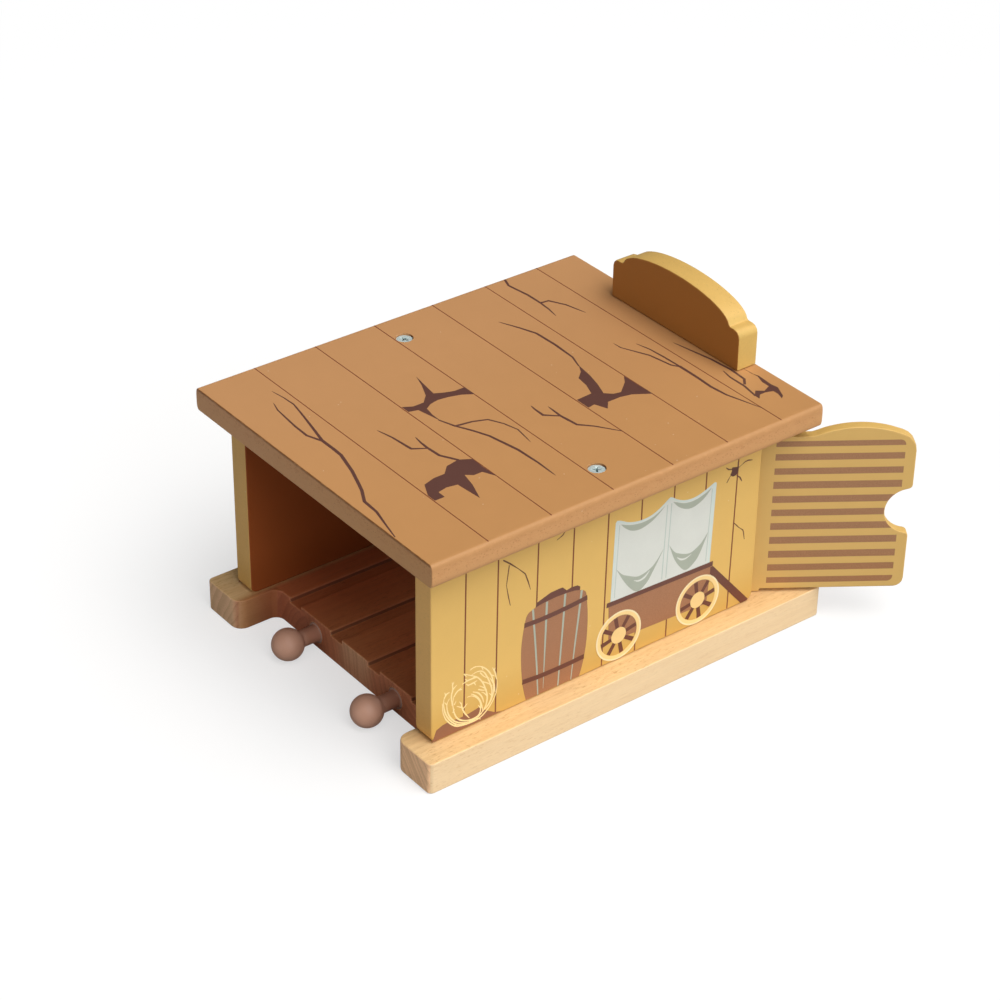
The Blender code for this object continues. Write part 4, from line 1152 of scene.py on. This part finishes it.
def print_sign():
    face = Face((0, SIGN_HIGH.y, 0), (-1, 0, 0), (0, 0, 1), (0, 1, 0), "sign_paint")
    slips("sign_border", face, "brown", 0, [[sign_outline(2.6), sign_outline(3.5)]])
    lines = [stroke([(-31.6, z), (31.6, z)], FINE_LINE) for z in (101.4, 106.4)]
    slips("sign_plank_lines", face, "line", 0, lines)


print_roof()
print_wall("right", 1)
print_wall("left", -1)
for door in DOORS:
    print_door(door)
print_sign()


# ==== turned pegs and roof screws, finer than the CAD ones they stand for ===========
def lathe(name, profile, steps, matrix, material, sharp):
    """Closed solid of revolution about local Z.  profile holds (radius, z) from pole to
    pole; edges steeper than sharp degrees stay sharp."""
    bm = bmesh.new()
    rows = []
    for r, z in profile:
        if r < 1e-6:
            rows.append([bm.verts.new((0, 0, z * MM))])
        else:
            rows.append([bm.verts.new((r * MM * math.cos(2 * math.pi * k / steps),
                                       r * MM * math.sin(2 * math.pi * k / steps), z * MM))
                         for k in range(steps)])
    for a, b in zip(rows, rows[1:]):
        for k in range(steps):
            kept = []
            for vert in (a[k % len(a)], a[(k + 1) % len(a)],
                         b[(k + 1) % len(b)], b[k % len(b)]):
                if vert not in kept:
                    kept.append(vert)
            if len(kept) > 2:
                bm.faces.new(kept)
    bmesh.ops.recalc_face_normals(bm, faces=bm.faces)
    bmesh.ops.transform(bm, matrix=matrix, verts=bm.verts)
    solid = add_object(name, bm)
    solid.data.shade_smooth()
    solid.data.set_sharp_from_angle(angle=math.radians(sharp))
    solid.data.materials.append(material)
    return solid


def stand_in(made, node):
    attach(made, "shed")
    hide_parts(node)


PEG = peg_material()
ZINC = zinc_material()
STEEL = steel_material()


def peg_profile(ball=6.1, out=12.1, neck=3.2, rim=3.95):
    """A ball of radius ball, its centre out from the deck, on a neck with a collar; the
    shank below z = 0 is inside the base."""
    steps = 44
    last = math.pi - math.asin((neck + 0.35) / ball)
    angles = [last * k / steps for k in range(steps + 1)]
    points = [(ball * math.sin(a), out + ball * math.cos(a)) for a in angles]
    z = out + ball * math.cos(last)
    return points + [
        (neck + 0.17, z - 0.30), (neck + 0.06, z - 0.62), (neck, z - 1.05), (neck, 3.0),
        (neck, 0.9), (neck + 0.02, 0.35), (neck + 0.10, 0.16), (neck + 0.26, 0.10),
        (rim - 0.22, 0.10), (rim - 0.09, 0.06), (rim - 0.01, -0.04), (rim, -0.2),
        (rim, -1.2), (3.0, -1.25), (3.0, -16.4), (2.4, -17.0), (0.0, -17.0)]


def turned_peg(side):
    node = side + "_track_peg"
    low, high = box_mm(node)
    centre = Vector(((low.x + high.x) / 2, DECK_FACE_Y, (low.z + high.z) / 2))
    matrix = Matrix.Translation(centre * MM) @ Matrix.Rotation(math.pi / 2, 4, "X")
    peg = lathe(side + "_peg_turned", peg_profile(), 88, matrix, PEG, sharp=35)
    stand_in(peg, node)


# cross recess, two crossing wedges: half length, half width and z from the head's top
RECESS_TOP = (1.95, 0.42, 0.25)
RECESS_LOW = (0.75, 0.26, -1.25)
BOX_FACES = ((3, 2, 1, 0), (4, 5, 6, 7), (0, 1, 5, 4), (1, 2, 6, 5), (2, 3, 7, 6), (3, 0, 4, 7))


def recess_cutter(name, head, spin):
    bm = bmesh.new()
    for angle in (spin, spin + math.pi / 2):
        corners = []
        for length, width, z in (RECESS_TOP, RECESS_LOW):
            for i, j in ((-1, -1), (1, -1), (1, 1), (-1, 1)):
                corner = Vector((i * length, j * width, z))
                corner.rotate(Matrix.Rotation(angle, 3, "Z"))
                corners.append(bm.verts.new((head + corner) * MM))
        for indices in BOX_FACES:
            bm.faces.new([corners[i] for i in indices])
    bmesh.ops.recalc_face_normals(bm, faces=bm.faces)
    return add_object(name, bm)


def cross_screw(side, spin):
    """Countersunk roof screw with a cross recess turned by spin radians."""
    name, node = side + "_roof_screw_head", side + "_roof_screw"
    low, high = box_mm(node)
    head = Vector(((low.x + high.x) / 2, (low.y + high.y) / 2, high.z))
    length = high.z - low.z
    r = min((high.x - low.x) / 2, 3.1)
    profile = [(0.0, 0.0), (r * 0.35, 0.0), (r * 0.86, -0.01), (r * 0.95, -0.05),
               (r - 0.03, -0.13), (r, -0.26), (r - 0.02, -0.36), (1.75, -1.95), (1.7, -2.4),
               (1.7, -(length - 5.0)), (1.2, -(length - 2.6)), (0.5, -(length - 0.5)),
               (0.0, -length)]
    screw = lathe(name, profile, 72, Matrix.Translation(head * MM), ZINC, sharp=30)
    cutter = recess_cutter(name + "_recess", head, spin)
    cut = screw.modifiers.new("recess", "BOOLEAN")
    cut.operation = "DIFFERENCE"
    cut.object = cutter
    cut.solver = "EXACT"
    cut.use_self = True
    graph = bpy.context.evaluated_depsgraph_get()
    cut_mesh = bpy.data.meshes.new_from_object(screw.evaluated_get(graph))
    screw.modifiers.clear()
    screw.data = cut_mesh
    screw.data.set_sharp_from_angle(angle=math.radians(30))
    bpy.data.objects.remove(cutter)
    screw.data.materials.clear()
    screw.data.materials.append(ZINC)
    stand_in(screw, node)


turned_peg("left")
turned_peg("right")
cross_screw("left", spin=0.35)
cross_screw("right", spin=0.95)

# ==== materials onto the CAD nodes ==================================================
LEFT, RIGHT, FRONT, BACK = (-1, 0, 0), (1, 0, 0), (0, -1, 0), (0, 1, 0)
UP, DOWN = (0, 0, 1), (0, 0, -1)


def paint(node, material):
    mesh = NODES[node].data
    mesh.materials.clear()
    mesh.materials.append(material)
    for polygon in mesh.polygons:
        polygon.material_index = 0


def paint_roof():
    top = ROOF_HIGH.z
    paint("roof", painted_board(
        "tan_roof", [(UP, ROOF_TAN), (DOWN, INNER_BROWN)], ROOF_EDGE, ROOF_SPECK,
        speck_amount=0.75, seed=3.0, roughness=0.45, speck_z=(ROOF_LOW.z + 2.0, top - 1.0),
        # a darker band along the top of the front face, and painted shade on the upper part of
        # the right face against its rounded edge's highlight
        rims=((FRONT, (top - 1.3, top - 0.5), ROOF_RIM_FRONT),
              (RIGHT, (top - 4.5, top - 0.8), ROOF_RIGHT_TOP_SHADE)),
        sides=((0.985, 1.0, 1.08, 1), (1.0, 0.99, 0.93, 1))))


def paint_wall(side, outward, inward, seed, front_light):
    paint(side + "_wall", painted_board(
        "ochre_" + side + "_wall", [(outward, OCHRE), (inward, INNER_BROWN)], OCHRE_EDGE,
        tint(OCHRE_EDGE, 0.72), speck_amount=0.22, seed=seed, foot_shade=WALL_FOOT_SHADE,
        end_gain=(FRONT, front_light)))


def paint_sign():
    paint("sign_board", painted_board(
        "sign_paint", [(FRONT, SIGN_FRONT), (BACK, OCHRE)], OCHRE_EDGE,
        tint(OCHRE_EDGE, 0.74), speck_amount=0.30, seed=47.0,
        end_gain=(RIGHT, (0.92, 0.96, 0.96, 1))))


def paint_door(door, seed):
    out = door_axes(door)[1]
    paint(door, painted_board(
        "paint_" + door, [(tuple(out), DOOR_OCHRE), (tuple(-out), INNER_BROWN)], OCHRE_EDGE,
        tint(OCHRE_EDGE, 0.78), speck_amount=0.25, seed=seed))


paint("base", beech_wood("beech_base", BEECH, deck=True))
paint_roof()
# painted light on the walls' front end faces, most on the right wall
paint_wall("left", LEFT, RIGHT, seed=17.0, front_light=(1.02, 0.97, 1.06, 1))
paint_wall("right", RIGHT, LEFT, seed=31.0, front_light=(1.18, 1.10, 1.24, 1))
paint_sign()
paint_door("left_door", seed=61.0)
paint_door("right_door", seed=73.0)
HARDWARE = {
    "_dowel": beech_wood("beech_dowel", DOWEL_BEECH, contrast=0.8, stave_shift=400.0),
    "_screw": ZINC,
    "_pin": STEEL,
    "_peg": PEG,
}
for node in NODES:
    for ending, material in HARDWARE.items():
        if node.endswith(ending):
            paint(node, material)


# ==== shading of the CAD nodes: weld the triangles, smooth arcs, keep flats flat ====
def smoothing_group():
    group = bpy.data.node_groups.new("weld_and_smooth", "GeometryNodeTree")
    for direction in ("INPUT", "OUTPUT"):
        group.interface.new_socket("Geometry", in_out=direction,
                                   socket_type="NodeSocketGeometry")
    group.is_modifier = True
    start = group.nodes.new("NodeGroupInput")
    end = group.nodes.new("NodeGroupOutput")
    weld = group.nodes.new("GeometryNodeMergeByDistance")
    weld.inputs["Distance"].default_value = 0.000002    # metres
    drop = group.nodes.new("GeometryNodeRemoveAttribute")
    drop.inputs["Name"].default_value = "custom_normal"
    angle = group.nodes.new("GeometryNodeInputMeshEdgeAngle")
    soft = group.nodes.new("FunctionNodeCompare")
    soft.data_type = "FLOAT"
    soft.operation = "LESS_THAN"
    faces = group.nodes.new("GeometryNodeSetShadeSmooth")
    faces.domain = "FACE"
    edges = group.nodes.new("GeometryNodeSetShadeSmooth")
    edges.domain = "EDGE"
    link = group.links.new
    link(start.outputs[0], drop.inputs[0])
    link(drop.outputs[0], weld.inputs["Geometry"])
    link(weld.outputs[0], faces.inputs["Geometry"])
    link(faces.outputs[0], edges.inputs["Geometry"])
    link(angle.outputs["Unsigned Angle"], soft.inputs[0])
    soft.inputs[1].default_value = math.radians(48)
    link(soft.outputs[0], edges.inputs["Shade Smooth"])
    link(edges.outputs[0], end.inputs[0])
    return group


SMOOTHING = smoothing_group()
for node in NODES:
    modifiers = NODES[node].modifiers
    modifiers.new("weld_and_smooth", "NODES").node_group = SMOOTHING
    weighted = modifiers.new("flat_faces_stay_flat", "WEIGHTED_NORMAL")
    weighted.mode = "FACE_AREA"
    weighted.weight = 80
    weighted.keep_sharp = True


# ==== studio: pale floor, soft light, camera ========================================
def mix_shaders(mask, under, over):
    made = add_node("ShaderNodeMixShader")
    put(made.inputs[0], mask)
    tree.links.new(under.outputs[0], made.inputs[1])
    tree.links.new(over.outputs[0], made.inputs[2])
    return made


def colour_shader(kind, colour, strength=None):
    made = add_node(kind)
    put(made.inputs["Color"], colour)
    if strength is not None:
        put(made.inputs["Strength"], strength)
    return made


def camera_ray():
    return Socket(add_node("ShaderNodeLightPath").outputs["Is Camera Ray"])


def floor_material():
    """Pale to the camera, fading to white with distance; dim to all other rays."""
    material = open_nodes(bpy.data.materials.new("pale_floor"))
    place = Socket(add_node("ShaderNodeNewGeometry").outputs["Position"])
    distance = vector_calc("LENGTH", stretch(place, (1.0, 1.0, 0.0)), result="Value")
    pale = colour_shader("ShaderNodeBsdfDiffuse", (0.98, 0.98, 0.98, 1))
    dim = colour_shader("ShaderNodeBsdfDiffuse", (0.34, 0.335, 0.33, 1))
    glow = colour_shader("ShaderNodeEmission", (1, 1, 1, 1), strength=1.0)
    far = smooth(distance, over=(0.12, 0.62), to=(0.58, 1.0))
    seen = mix_shaders(far, pale, glow)
    output(mix_shaders(camera_ray(), dim, seen), "ShaderNodeOutputMaterial")
    return material


def add_floor():
    # metres; just below the base
    bpy.ops.mesh.primitive_plane_add(size=40.0, location=(0, 0, -0.00015))
    floor = bpy.context.object
    floor.name = "floor"
    floor.data.materials.append(floor_material())


# soft lights: azimuth from +X towards +Y and elevation in degrees, strength
STUDIO = [
    (0, 64, 3.56),       # key, high on the right
    (45, 64, 3.00),      # its rear half
    (0, 38, 2.03),
    (0, 12, 1.98),       # low reflectors on the right and behind
    (45, 12, 1.05),
    (90, 12, 1.13),
    (270, 12, 1.30),     # low fill from the front
    (315, 12, 0.49),
]
LIGHT_FADE = (math.cos(math.radians(30)), math.cos(math.radians(5)))


def toward(azimuth, elevation):
    """Unit vector for angles in radians."""
    return Vector((math.cos(azimuth) * math.cos(elevation),
                   math.sin(azimuth) * math.cos(elevation), math.sin(elevation))).normalized()


def add_world():
    """The soft lights for the scene, plain white for the camera."""
    world = open_nodes(bpy.data.worlds.new("studio"))
    direction = vector_calc("NORMALIZE", coordinates("Generated"))
    total = calc("ADD", 0.01, 0.0)
    for azimuth, elevation, level in STUDIO:
        centre = toward(math.radians(azimuth), math.radians(elevation))
        total = total + smooth(dot(direction, tuple(centre)), over=LIGHT_FADE, to=(0.0, level))
    sky = colour_shader("ShaderNodeBackground", (1.0, 0.99, 0.975, 1), strength=total)
    white = colour_shader("ShaderNodeBackground", (1.0, 1.0, 1.0, 1), strength=1.0)
    output(mix_shaders(camera_ray(), sky, white), "ShaderNodeOutputWorld")
    bpy.context.scene.world = world
    bpy.context.scene.view_settings.view_transform = "Standard"


CAMERA_PLACE = (0.66483, -0.52640, 0.59457)     # metres
CAMERA_AZIMUTH = math.radians(52.018)           # from -Y towards +X
CAMERA_ELEVATION = math.radians(32.773)
CAMERA_ROLL = math.radians(0.826)


def add_camera():
    data = bpy.data.cameras.new("camera")
    camera = bpy.data.objects.new("camera", data)
    bpy.context.scene.collection.objects.link(camera)
    data.sensor_width = 36.0
    data.lens = 100.275
    data.clip_start, data.clip_end = 0.01, 60.0
    level = math.cos(CAMERA_ELEVATION)
    back = Vector((math.sin(CAMERA_AZIMUTH) * level, -math.cos(CAMERA_AZIMUTH) * level,
                   math.sin(CAMERA_ELEVATION)))
    right = Vector((0, 0, 1)).cross(back).normalized()
    up = back.cross(right)
    cosine, sine = math.cos(CAMERA_ROLL), math.sin(CAMERA_ROLL)
    right, up = cosine * right + sine * up, -sine * right + cosine * up
    turn = Matrix((right, up, back)).transposed().to_4x4()
    camera.matrix_world = Matrix.Translation(Vector(CAMERA_PLACE)) @ turn
    bpy.context.scene.camera = camera


add_floor()
add_world()
add_camera()
